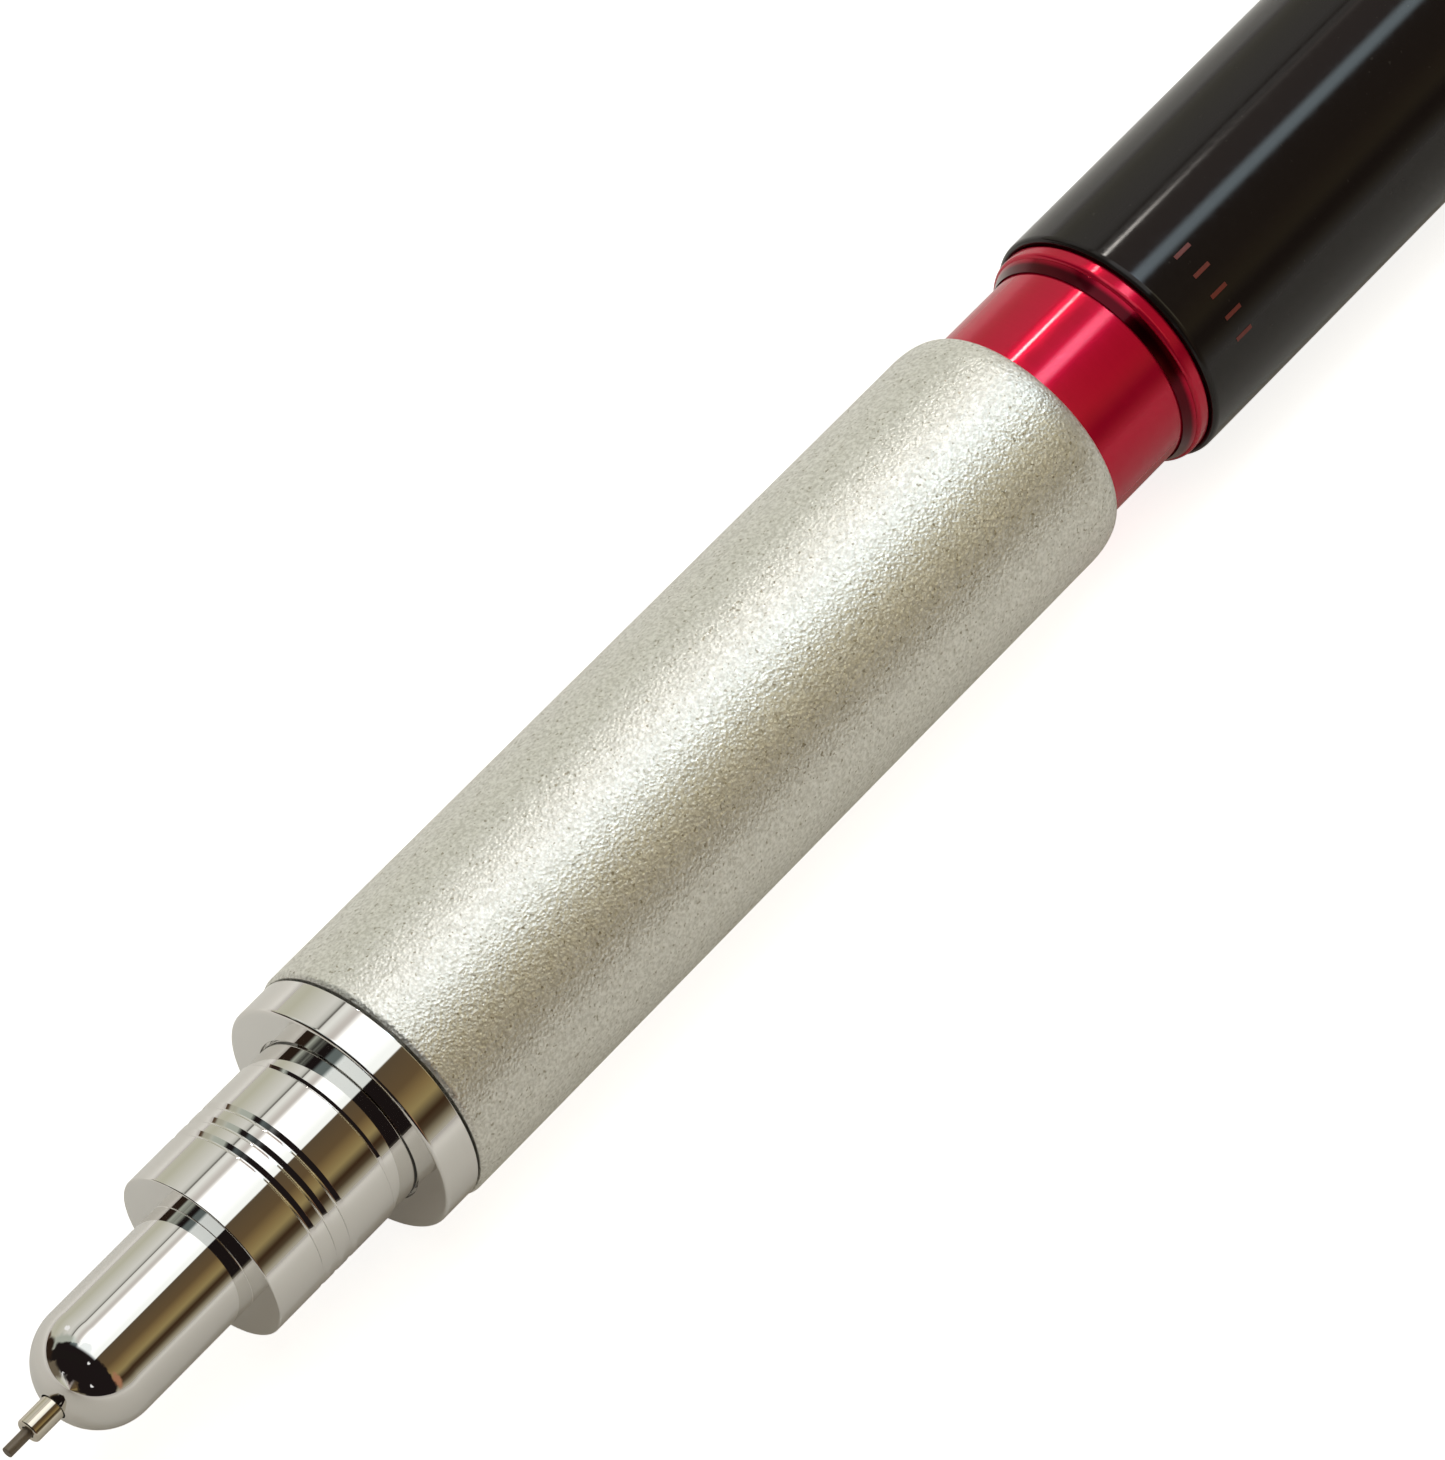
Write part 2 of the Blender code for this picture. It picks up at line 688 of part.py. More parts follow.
def push_button():
    """The cap over the eraser, with a waist ring and a rounded edge round its flat end."""
    bore = 2.70
    floor = LENGTH - 1.6
    edge = 0.8
    outer = [
        (BUTTON_FRONT, BUTTON_R - 0.1),
        (BUTTON_FRONT + 0.1, BUTTON_R),
        (135.6, BUTTON_R),
        (135.75, BUTTON_R - 0.18),
        (136.15, BUTTON_R - 0.18),
        (136.3, BUTTON_R),
    ]
    outer += arc((LENGTH - edge, BUTTON_R - edge), edge, 90, 180, 4) + [(LENGTH, 0.0)]
    inner = [(BUTTON_FRONT, bore), (floor, bore), (floor, 0.0)]
    return turned("push_button", "chrome", outer, inner)


def leads():
    """The lead in use, in the collet, and two spares in the magazine behind it."""
    outer = [(0.0, LEAD_R - 0.02), (0.03, LEAD_R), (LEAD_LENGTH, LEAD_R)]
    made = [turned("lead", "graphite", outer, (), TINY)]
    for spare, offset in enumerate((0.5, -0.5), start=1):
        start = LEAD_LENGTH + 3.0
        outline = [(start, LEAD_R), (start + LEAD_LENGTH, LEAD_R)]
        stick = turned(f"spare_lead_{spare}", "graphite", outline, (), TINY)
        stick.location = (0, offset * MM, 0)
        made.append(stick)
    return made


def build():
    pieces = [
        nose_cone(),
        nose_collar(),
        grip_sleeve(),
        grip_core(),
        shift_sleeve(),
        mouth_ring(),
        barrel(),
        guide_pipe(),
        pipe_holder(),
        lead_retainer(),
        mechanism_case(),
        chuck(),
        clutch_ring(),
        chuck_connector(),
        lead_tube(),
        coil("chuck_spring", "steel", 25.3, 34.2, 1.36, 0.16, 6, 9),
        shift_guide(),
        coil("shift_spring", "steel", 75.1, GUIDE_FLANGE - SNUG, 3.72, 0.28, 5, 12),
        lock_ring(),
        lock_pin(),
        clip_band(),
        clip_arm(),
        rear_ferrule(),
        eraser_holder(),
        eraser(),
        push_button(),
    ] + leads()
    bpy.context.view_layer.update()
    for piece in pieces:
        baked(piece)


clear_scene()
PARTS = new_collection("drafting_pencil")
CUTTERS = new_collection("cutters")
AXIS = new_empty("pencil_axis", lying_matrix())
bpy.context.view_layer.update()
PIVOT_PLACE = Matrix.Translation(Vector((CLIP_PIVOT[1], 0, CLIP_PIVOT[0])) * MM)
CLIP_AXIS = new_empty("clip_axis", lying_matrix() @ PIVOT_PLACE)
build()
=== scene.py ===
"""The looks of the drafting pencil: fine turned pieces, their metals and lacquer, a studio and a camera.

Lengths are millimetres until they reach Blender. A place along the pencil is its distance from the lead's
point, which the frame gives, and a radius is measured from the pencil's axis.
"""

import json
import math

import bmesh
import bpy
from mathutils import Matrix, Vector


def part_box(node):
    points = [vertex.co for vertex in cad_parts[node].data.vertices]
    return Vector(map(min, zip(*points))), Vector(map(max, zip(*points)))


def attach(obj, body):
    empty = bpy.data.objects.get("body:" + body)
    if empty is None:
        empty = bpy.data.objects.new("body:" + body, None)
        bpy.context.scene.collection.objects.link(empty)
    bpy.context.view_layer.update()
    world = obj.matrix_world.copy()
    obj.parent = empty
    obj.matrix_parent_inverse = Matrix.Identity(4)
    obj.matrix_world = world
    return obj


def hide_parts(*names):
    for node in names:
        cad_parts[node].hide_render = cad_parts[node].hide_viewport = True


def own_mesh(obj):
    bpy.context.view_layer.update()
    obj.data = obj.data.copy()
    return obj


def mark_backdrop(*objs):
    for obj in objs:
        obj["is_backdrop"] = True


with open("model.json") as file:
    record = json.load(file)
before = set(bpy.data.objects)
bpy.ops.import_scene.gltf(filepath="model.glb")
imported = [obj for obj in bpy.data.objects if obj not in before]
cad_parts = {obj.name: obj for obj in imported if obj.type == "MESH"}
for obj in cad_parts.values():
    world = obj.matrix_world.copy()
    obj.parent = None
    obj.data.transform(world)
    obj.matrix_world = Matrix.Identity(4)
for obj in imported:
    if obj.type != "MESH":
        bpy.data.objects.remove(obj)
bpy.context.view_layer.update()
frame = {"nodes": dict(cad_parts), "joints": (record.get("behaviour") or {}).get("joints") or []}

MM = 0.001


def frame_axis():
    """The lead's point, which is place 0, on the pencil's axis."""
    low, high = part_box("lead")
    return Vector((low.x, (low.y + high.y) / 2, (low.z + high.z) / 2))


def joint(name):
    return next(j for j in frame["joints"] if j["name"] == name)


def node_ends(name):
    """Where a CAD node starts and ends along the pencil."""
    low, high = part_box(name)
    return (low.x - POINT.x) / MM, (high.x - POINT.x) / MM


POINT = frame_axis()
ALONG = Vector((1, 0, 0))
SIDE = -Vector(joint("clip_flex")["axis"]).normalized()
OUT = SIDE.cross(ALONG)

# Places and radii of the CAD model
COLLAR_FRONT, COLLAR_BACK = node_ends("nose_collar")
GRIP_FRONT, GRIP_BACK = node_ends("grip_sleeve")
SLEEVE_FRONT, SLEEVE_BACK = node_ends("shift_sleeve")
LIP_FRONT, LINER_BACK = node_ends("mouth_ring")
MOUTH, BARREL_BACK = node_ends("barrel")
PIPE_TIP, PIPE_BACK = node_ends("guide_pipe")
BAND_FRONT, BAND_BACK = node_ends("clip_band")
TANG_FRONT, FERRULE_BACK = node_ends("rear_ferrule")
BUTTON_FRONT, BUTTON_BACK = node_ends("push_button")
HOLDER_FRONT, HOLDER_BACK = node_ends("eraser_holder")
ERASER_FRONT, ERASER_BACK = node_ends("eraser")
LEAD_BACK = node_ends("lead")[1]
GRIP_R = 5.40
COLLAR_R = 5.28
MID_R = 3.80
TUBE_R = 2.46
SLEEVE_R = 4.67
BARREL_R = 5.40
BAND_R = 5.45
BUTTON_R = 3.30
PIPE_R = 0.52
LEAD_R = 0.225
DOME_CENTRE = 4.86
SHOULDER = 10.46
GROOVES = (12.99, 13.73, 14.47)
GROOVE_HALF = 0.17
GROOVE_DEPTH = 0.12
NECK = 16.77

FACETS = 192
FINE_FACETS = 64


# Turned outlines


def turn_between(before, corner, after):
    """The angle in radians by which an outline turns at a corner, and the unit vectors away from it."""
    back = (before - corner).normalized()
    ahead = (after - corner).normalized()
    return math.pi - back.angle(ahead), back, ahead


def rounded(corners, edge=0.03):
    """The outline with its corners rounded. A corner is (place, radius) or (place, radius, rounding)."""
    spots = [Vector(c[:2]) for c in corners]
    sizes = [c[2] if len(c) > 2 else edge for c in corners]
    line = [spots[0]]
    for i in range(1, len(spots) - 1):
        turn, back, ahead = turn_between(spots[i - 1], spots[i], spots[i + 1])
        reach = sizes[i] * math.tan(turn / 2)
        room = min((spots[i - 1] - spots[i]).length, (spots[i + 1] - spots[i]).length) * 0.48
        reach = min(reach, room)
        if turn < math.radians(12) or reach <= 0:
            line.append(spots[i])
            continue
        size = reach / math.tan(turn / 2)
        centre = spots[i] + (back + ahead).normalized() * size / math.cos(turn / 2)
        start = spots[i] + back * reach - centre
        stop = spots[i] + ahead * reach - centre
        steps = max(3, math.ceil(math.degrees(turn) / 12))
        first = math.atan2(start.y, start.x)
        sweep = (math.atan2(stop.y, stop.x) - first + math.pi) % (2 * math.pi) - math.pi
        for step in range(steps + 1):
            angle = first + sweep * step / steps
            line.append(centre + Vector((math.cos(angle), math.sin(angle))) * size)
    line.append(spots[-1])
    return [tuple(p) for p in line]


def arc(centre, size, start, stop, steps=16, flat=1.0):
    """Points on an arc or, with flat, an ellipse. Angles are degrees from forwards, going outwards."""
    points = []
    for i in range(steps + 1):
        angle = math.radians(start + (stop - start) * i / steps)
        along = centre[0] - flat * size * math.cos(angle)
        points.append((along, centre[1] + size * math.sin(angle), 0))
    return points


def outline_normals(line, closed):
    """Each point's normal, where the longer neighbouring edge counts more, so flats stay flat."""
    count = len(line)
    normals = []
    for i in range(count):
        total = Vector((0, 0))
        for a, b in ((i - 1, i), (i, i + 1)):
            if not closed and (a < 0 or b >= count):
                continue
            step = Vector(line[b % count]) - Vector(line[a % count])
            total += Vector((-step.y, step.x)) * step.length
        normals.append(total.normalized())
    return normals


def lathe(name, line, facets=FACETS, closed=True):
    """A turned mesh from an outline that runs back along the outside and forward along the inside."""
    if not closed:
        line = [(line[0][0], 0.0)] + list(line) + [(line[-1][0], 0.0)]
    slopes = outline_normals(line, closed)
    verts, normals, rings = [], [], []
    for (along, radius), slope in zip(line, slopes):
        if radius < 1e-6:
            rings.append([len(verts)] * facets)
            verts.append(POINT + ALONG * along * MM)
            normals.append(ALONG * (1 if slope.x > 0 else -1))
            continue
        rings.append(list(range(len(verts), len(verts) + facets)))
        for j in range(facets):
            angle = 2 * math.pi * j / facets
            spoke = Vector((0, math.cos(angle), math.sin(angle)))
            verts.append(POINT + ALONG * along * MM + spoke * radius * MM)
            normals.append((ALONG * slope.x + spoke * slope.y).normalized())
    faces = []
    pairs = list(zip(rings, rings[1:]))
    if closed:
        pairs.append((rings[-1], rings[0]))
    for near, far in pairs:
        for j in range(facets):
            k = (j + 1) % facets
            corners = [near[j], near[k], far[k], far[j]]
            faces.append(list(dict.fromkeys(corners)))
    mesh = bpy.data.meshes.new(name)
    mesh.from_pydata([tuple(v) for v in verts], [], faces)
    mesh.shade_smooth()
    mesh.normals_split_custom_set_from_vertices([tuple(n) for n in normals])
    return add_object(name, mesh)


def mesh_from(form, name):
    """A mesh with the name from a bmesh, whose faces all point outwards."""
    bmesh.ops.recalc_face_normals(form, faces=form.faces)
    mesh = bpy.data.meshes.new(name)
    form.to_mesh(mesh)
    form.free()
    return mesh


def bridge(form, near, far):
    """Faces between two rings of vertices."""
    for i in range(len(near)):
        j = (i + 1) % len(near)
        form.faces.new((near[i], near[j], far[j], far[i]))


def add_object(name, data):
    obj = bpy.data.objects.new(name, data)
    bpy.context.scene.collection.objects.link(obj)
    return obj


def fit(obj, body, material, replaces=()):
    """Gives a piece its material and its body, and hides the CAD nodes that it stands for."""
    obj.data.materials.clear()
    obj.data.materials.append(material)
    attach(obj, body)
    if replaces:
        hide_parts(*replaces)
    return obj


# Materials


def new_material(name, colour, roughness, metallic=0.0, **sockets):
    material = bpy.data.materials.new(name)
    material.use_nodes = True
    shader = material.node_tree.nodes["Principled BSDF"]
    shader.inputs["Base Color"].default_value = (*colour, 1)
    shader.inputs["Roughness"].default_value = roughness
    shader.inputs["Metallic"].default_value = metallic
    for key, value in sockets.items():
        shader.inputs[key.replace("_", " ")].default_value = value
    return material


def add(tree, kind, inputs, **settings):
    """Adds a node. An input's value is another node's socket or a plain value."""
    node = tree.nodes.new(kind)
    for key, value in settings.items():
        setattr(node, key, value)
    for key, value in inputs.items():
        if isinstance(value, bpy.types.NodeSocket):
            tree.links.new(value, node.inputs[key])
        else:
            node.inputs[key].default_value = value
    return node


def sockets_of(material):
    tree = material.node_tree
    return tree, tree.nodes["Principled BSDF"]


def grain_place(tree, stretch=(1, 1, 1)):
    """The point on the piece, in millimetres of its own space, stretched along each axis."""
    place = add(tree, "ShaderNodeTexCoord", {})
    scale = [s / MM for s in stretch]
    moved = add(tree, "ShaderNodeMapping", {"Vector": place.outputs["Object"], "Scale": scale})
    return moved.outputs["Vector"]


def noise(tree, place, scale, detail=2.0, rough=0.5):
    inputs = {"Vector": place, "Scale": scale, "Detail": detail, "Roughness": rough}
    return add(tree, "ShaderNodeTexNoise", inputs).outputs["Fac"]


def remap(tree, value, low, high, to_low, to_high, smooth=False):
    inputs = {"Value": value, "From Min": low, "From Max": high, "To Min": to_low, "To Max": to_high}
    kind = "SMOOTHSTEP" if smooth else "LINEAR"
    return add(tree, "ShaderNodeMapRange", inputs, interpolation_type=kind).outputs["Result"]


def calc(tree, operation, *values):
    return add(tree, "ShaderNodeMath", dict(enumerate(values)), operation=operation).outputs[0]


def blend_colour(tree, factor, first, second):
    """The Mix node's factor and colours are its inputs 0, 6 and 7, and its colour is output 2."""
    inputs = {0: factor, 6: first, 7: second}
    return add(tree, "ShaderNodeMix", inputs, data_type="RGBA").outputs[2]


def vary_roughness(material, place, scale, low, high, detail=3.0):
    tree, shader = sockets_of(material)
    value = remap(tree, noise(tree, place, scale, detail), 0.3, 0.7, low, high)
    tree.links.new(value, shader.inputs["Roughness"])


def vary_colour(material, amount, first, second):
    """Mixes two close colours by a value from 0 to 1. A colour is a node's socket or four numbers."""
    tree, shader = sockets_of(material)
    tree.links.new(blend_colour(tree, amount, first, second), shader.inputs["Base Color"])


def bump(material, height, depth):
    """Bump of a real depth in millimetres."""
    tree, shader = sockets_of(material)
    inputs = {"Height": height, "Distance": depth * MM, "Strength": 1.0}
    node = add(tree, "ShaderNodeBump", inputs)
    tree.links.new(node.outputs["Normal"], shader.inputs["Normal"])


def chrome():
    """Bright plate on turned brass: faint turning rings, and smears that dull it a little."""
    material = new_material("bright_chrome", (0.80, 0.79, 0.77), 0.04, 1.0)
    tree, _ = sockets_of(material)
    rings = noise(tree, grain_place(tree, (1, 0.02, 0.02)), 5.0, 2.0)
    bump(material, rings, 0.00006)
    vary_roughness(material, grain_place(tree), 0.6, 0.015, 0.045)
    cloud = noise(tree, grain_place(tree), 0.25)
    vary_colour(material, cloud, (0.81, 0.80, 0.78, 1), (0.78, 0.77, 0.74, 1))
    return material


def satin():
    """Bead-blasted pearl metal: fine dimples with small dark pits and bright facets."""
    material = new_material("satin_pearl", (0.82, 0.815, 0.76), 0.42, 0.80)
    tree, _ = sockets_of(material)
    place = grain_place(tree)
    dimples = add(tree, "ShaderNodeTexVoronoi", {"Vector": place, "Scale": 7.5}).outputs["Distance"]
    height = calc(tree, "ADD", dimples, noise(tree, place, 6.5, 1.5))
    bump(material, height, 0.021)
    vary_roughness(material, place, 3.0, 0.36, 0.46)
    facets = remap(tree, noise(tree, place, 6.5, 1.5, 0.6), 0.64, 0.36, 0.0, 1.0)
    mottle = blend_colour(tree, facets, (0.94, 0.94, 0.885, 1), (0.70, 0.695, 0.635, 1))
    pits = remap(tree, noise(tree, place, 6.0, 1.0), 0.34, 0.27, 0.0, 1.0)
    vary_colour(material, pits, mottle, (0.42, 0.39, 0.31, 1))
    return material


def anodised(name, colour, metallic, roughness, coat):
    """Dyed anodised aluminium: a clear skin over fine turning rings, which are returned too."""
    material = new_material(
        name,
        colour,
        roughness,
        metallic,
        Specular_IOR_Level=0.0,
        Coat_Weight=coat,
        Coat_Roughness=0.06,
        Coat_IOR=1.35,
    )
    tree, _ = sockets_of(material)
    rings = noise(tree, grain_place(tree, (1, 0.004, 0.004)), 9.0, 2.0)
    bump(material, rings, 0.0001)
    vary_roughness(material, grain_place(tree, (1, 0.2, 0.2)), 3.0, roughness * 0.87, roughness * 1.13)
    return material, rings


def crimson():
    """The dyed sleeve and lip, a little darker along some of the rings."""
    colour = (0.64, 0.0062, 0.042)
    material, rings = anodised("crimson_anodised", colour, 0.45, 0.23, 0.75)
    darker = [c * 0.9 for c in colour]
    vary_colour(material, rings, (*colour, 1), (*darker, 1))
    return material


def shaded_crimson_cove():
    """The same dye in the lip's cove, painted darker as shade, and darker still towards the sleeve: a painted
    shadow where no light gets in.
    """
    # Painted shade: the cove's crimson is darker than the sleeve's, for the shaded recess.
    colour = (0.42, 0.0048, 0.030)
    material, _ = anodised("shaded_crimson_cove", colour, 1.0, 0.20, 0.3)
    tree, _ = sockets_of(material)
    place = add(tree, "ShaderNodeSeparateXYZ", {"Vector": grain_place(tree)}).outputs["X"]
    front = POINT.x / MM + LIP_FRONT
    # Painted shadow, darkest at the cove's inner end beside the sleeve.
    depth = remap(tree, place, front + 0.30, front + 0.50, 0.0, 1.0, smooth=True)
    vary_colour(material, depth, (0.085, 0.0015, 0.007, 1), (*colour, 1))
    return material


def lacquer():
    """Deep black lacquer with a slight orange peel and dust-fine dull spots."""
    colour = (0.0135, 0.0102, 0.0094)
    material = new_material("black_lacquer", colour, 0.08, IOR=1.35)
    tree, _ = sockets_of(material)
    place = grain_place(tree)
    bump(material, noise(tree, place, 0.9, 1.0), 0.0004)
    vary_roughness(material, place, 2.5, 0.06, 0.12, 4.0)
    specks = remap(tree, noise(tree, place, 4.0, 1.0), 0.74, 0.80, 0.0, 1.0)
    vary_colour(material, specks, (*colour, 1), (0.030, 0.026, 0.022, 1))
    return material


def plain_metal(name, colour, roughness, rings=6.0):
    """Turned or drawn metal, with rings across the pencil and a slow change of colour."""
    material = new_material(name, colour, roughness, 1.0)
    tree, _ = sockets_of(material)
    marks = noise(tree, grain_place(tree, (1, 0.1, 0.1)), rings, 3.0)
    bump(material, marks, 0.0008)
    vary_roughness(material, grain_place(tree), 1.5, roughness * 0.75, roughness * 1.3)
    darker = [c * 0.86 for c in colour]
    vary_colour(material, noise(tree, grain_place(tree), 0.4), (*colour, 1), (*darker, 1))
    return material


def soft_plastic(name, colour, roughness, depth, **sockets):
    """Moulded plastic, rubber or eraser: fine grain and a slight mottle."""
    material = new_material(name, colour, roughness, **sockets)
    tree, _ = sockets_of(material)
    place = grain_place(tree)
    bump(material, noise(tree, place, 6.0, 3.0), depth)
    vary_roughness(material, place, 2.0, roughness * 0.85, min(1.0, roughness * 1.15))
    darker = [c * 0.9 for c in colour]
    vary_colour(material, noise(tree, place, 0.5), (*colour, 1), (*darker, 1))
    return material


CHROME = chrome()
SATIN = satin()
CRIMSON = crimson()
SHADED_CRIMSON_COVE = shaded_crimson_cove()
LACQUER = lacquer()
STEEL = plain_metal("drawn_steel", (0.74, 0.69, 0.59), 0.10)
SPRING = plain_metal("spring_steel", (0.50, 0.49, 0.47), 0.22, 2.0)
BRASS = plain_metal("turned_brass", (0.74, 0.55, 0.27), 0.20)
NYLON = soft_plastic("nylon", (0.78, 0.76, 0.70), 0.42, 0.002)
RUBBER = soft_plastic("black_rubber", (0.03, 0.03, 0.03), 0.75, 0.006)
ERASER = soft_plastic("eraser_white", (0.83, 0.82, 0.78), 0.80, 0.010)
CLEAR = soft_plastic(
    "clear_plastic", (0.86, 0.88, 0.87), 0.16, 0.0005, Transmission_Weight=0.75, IOR=1.49
)
GRAPHITE = soft_plastic("graphite", (0.205, 0.165, 0.118), 0.40, 0.003, Metallic=0.3)
PRINT = soft_plastic("dull_red_print", (0.17, 0.022, 0.014), 0.45, 0.002)


# Pieces


def nose():
    """Domed tube, shouldered middle with three turned grooves, a neck groove and a threaded tail."""
    hole = PIPE_R + 0.05
    bore = 1.75
    neck_r = MID_R - 0.06
    seat = COLLAR_FRONT + 0.25
    tail_r = 3.15
    tail_bore = 2.65
    root_r = tail_r - 0.2
    line = [(DOME_CENTRE - 1.6, hole), (DOME_CENTRE - 2.40, hole, 0.02)]
    line += arc((DOME_CENTRE, 0), TUBE_R, math.degrees(math.asin((hole + 0.03) / TUBE_R)), 90, 28)
    line += [(SHOULDER, TUBE_R, 0.03), (SHOULDER, MID_R, 0.07)]
    for groove in GROOVES:
        line += [(groove - GROOVE_HALF, MID_R, 0.02)]
        line += [(groove - GROOVE_HALF / 2, MID_R - GROOVE_DEPTH, 0.12)]
        line += [(groove + GROOVE_HALF, MID_R, 0.03)]
    line += [
        (NECK - 0.08, MID_R, 0.03),
        (NECK - 0.04, neck_r - 0.09, 0.03),
        (NECK + 0.12, neck_r, 0.03),
        (seat, neck_r),
        (seat, tail_r),
    ]
    for ridge in range(4):
        start = COLLAR_BACK + 1.2 + 1.5 * ridge
        line += [(start, tail_r), (start + 0.3, root_r)]
        line += [(start + 0.8, root_r), (start + 1.1, tail_r)]
    back = node_ends("nose_cone")[1]
    line += [(back, tail_r), (back, tail_bore), (SHOULDER + 1.6, tail_bore), (SHOULDER + 1.1, bore)]
    line += [(DOME_CENTRE - 0.6, bore), (DOME_CENTRE - 1.6, hole)]
    obj = lathe("nose_turning", rounded(line)[:-1])
    return fit(obj, "front_shell", CHROME, ["nose_cone"])


def collar():
    """The chrome ring between the nose and the grip."""
    counterbore, bore = 3.84, 3.25
    step = COLLAR_FRONT + 0.30
    line = [(step, counterbore), (COLLAR_FRONT, counterbore, 0.03), (COLLAR_FRONT, COLLAR_R, 0.16)]
    line += [(COLLAR_BACK, COLLAR_R, 0.05), (COLLAR_BACK, bore), (step, bore)]
    line.append(line[0][:2])
    obj = lathe("nose_collar_turning", rounded(line)[:-1])
    return fit(obj, "front_shell", CHROME, ["nose_collar"])


def grip():
    """The long blasted sleeve. Its back end is drawn in softly towards the crimson sleeve."""
    bore = 4.80
    drop = 0.48
    collar_bore = SLEEVE_R + 0.03
    inside = GRIP_BACK - 0.6
    line = [(GRIP_FRONT, bore), (GRIP_FRONT, GRIP_R - 0.10, 0.04), (GRIP_FRONT + 0.16, GRIP_R, 0.25)]
    line += arc((GRIP_BACK - 1.45, GRIP_R - drop), drop, 90, 176, 18, flat=3)
    line += [(GRIP_BACK, collar_bore, 0.04), (inside, collar_bore)]
    line += [(inside, bore), (GRIP_FRONT, bore)]
    obj = lathe("grip_blasted", rounded(line)[:-1])
    return fit(obj, "front_shell", SATIN, ["grip_sleeve"])


def red_sleeve():
    """The crimson sleeve, with a rim inside the barrel that stops it at the liner."""
    bore = 4.30
    rim_r = 4.90
    rim = LINER_BACK + 0.1
    rim_back = rim + 1.0
    line = [(SLEEVE_FRONT, bore), (SLEEVE_FRONT, SLEEVE_R), (rim, SLEEVE_R), (rim, rim_r)]
    line += [(rim_back, rim_r), (rim_back, SLEEVE_R), (SLEEVE_BACK, SLEEVE_R), (SLEEVE_BACK, bore)]
    line.append(line[0])
    obj = lathe("shift_sleeve_turning", rounded(line)[:-1])
    return fit(obj, "front_shell", CRIMSON, ["shift_sleeve"])


def red_mouth():
    """The liner's front: a flared cove round the sleeve, and a rounded bead behind it."""
    bore = SLEEVE_R + 0.04
    lip = 5.13
    cove = 0.54
    bead = 0.18
    crease = lip - bead + 0.05
    skirt = 4.96
    back = MOUTH - 0.02
    line = [(LIP_FRONT + 0.03, bore), (LIP_FRONT, bore + 0.02, 0.02)]
    line += [(LIP_FRONT + 0.25, bore + 0.13, 0.8), (LIP_FRONT + cove, crease, 0.02)]
    line += arc((LIP_FRONT + cove + bead, lip - bead), bead, 5, 90, 12)
    line += [(MOUTH - 0.12, lip, 0.08), (back, lip - 0.07, 0.03), (back, skirt)]
    line += [(LINER_BACK, skirt), (LINER_BACK, bore), (LIP_FRONT + 0.03, bore)]
    obj = lathe("mouth_lip", rounded(line)[:-1])
    fit(obj, "barrel", CRIMSON, ["mouth_ring"])
    # The cove's faces take the crimson with painted shade.
    obj.data.materials.append(SHADED_CRIMSON_COVE)
    for face in obj.data.polygons:
        if (face.center.x - POINT.x) / MM < LIP_FRONT + cove:
            face.material_index = 1
    return obj


def black_barrel():
    """The lacquered barrel, with a small rounding round its mouth."""
    bore = 5.01
    narrow = 4.50
    front = 5.27
    step = node_ends("shift_guide")[1] + 0.2
    rounding, rounding_length = BARREL_R - front, 0.26
    line = [(MOUTH, bore), (MOUTH, front, 0.03)]
    line += arc((MOUTH + rounding_length, front), rounding, 12, 90, 14, flat=1.8)
    line += [(BARREL_BACK, BAND_R, 0.12), (BARREL_BACK, narrow), (step, narrow), (step, bore)]
    line.append(line[0])
    obj = lathe("barrel_lacquered", rounded(line)[:-1])
    return fit(obj, "barrel", LACQUER, ["barrel"])


def barrel_ticks():
    """A row of plain printed ticks round the front of the barrel."""
    first, last = -17.0, -61.0
    front, back = 65.25, 66.15
    half_width = math.radians(0.95)
    count = 5
    skin, lift = 0.012, 0.005
    steps = 4
    form = bmesh.new()
    for tick in range(count):
        middle = math.radians(first + (last - first) * tick / (count - 1))
        rows = []
        for height in (lift, lift + skin):
            radius = BARREL_R + height
            for along in (front, back):
                row = []
                for i in range(steps + 1):
                    angle = middle + half_width * (2 * i / steps - 1)
                    spoke = Vector((0, math.sin(angle), math.cos(angle)))
                    row.append(form.verts.new(POINT + (ALONG * along + spoke * radius) * MM))
                rows.append(row)
        low_front, low_back, high_front, high_back = rows
        around = (low_front, low_back, high_back, high_front)
        for a, b in zip(around, around[1:] + around[:1]):
            for i in range(steps):
                form.faces.new((a[i], a[i + 1], b[i + 1], b[i]))
        for end in (0, steps):
            form.faces.new([row[end] for row in around])
    mesh = mesh_from(form, "barrel_ticks")
    return fit(add_object("barrel_ticks", mesh), "barrel", PRINT)


def pipe():
    """The drawn steel pipe that the lead runs in."""
    bore = LEAD_R + 0.04
    line = [(PIPE_BACK, bore), (PIPE_TIP, bore, 0.02), (PIPE_TIP, PIPE_R, 0.10)]
    line += [(PIPE_BACK, PIPE_R), (PIPE_BACK, bore)]
    obj = lathe("guide_pipe_drawn", rounded(line)[:-1], FINE_FACETS)
    return fit(obj, "barrel", STEEL, ["guide_pipe"])


def lead_in_use():
    line = rounded([(0.0, 0.0), (0.0, LEAD_R, 0.03), (LEAD_BACK, LEAD_R), (LEAD_BACK, 0.0)])[1:-1]
    obj = lathe("lead_in_use", line, FINE_FACETS, closed=False)
    return fit(obj, "lead", GRAPHITE, ["lead"])


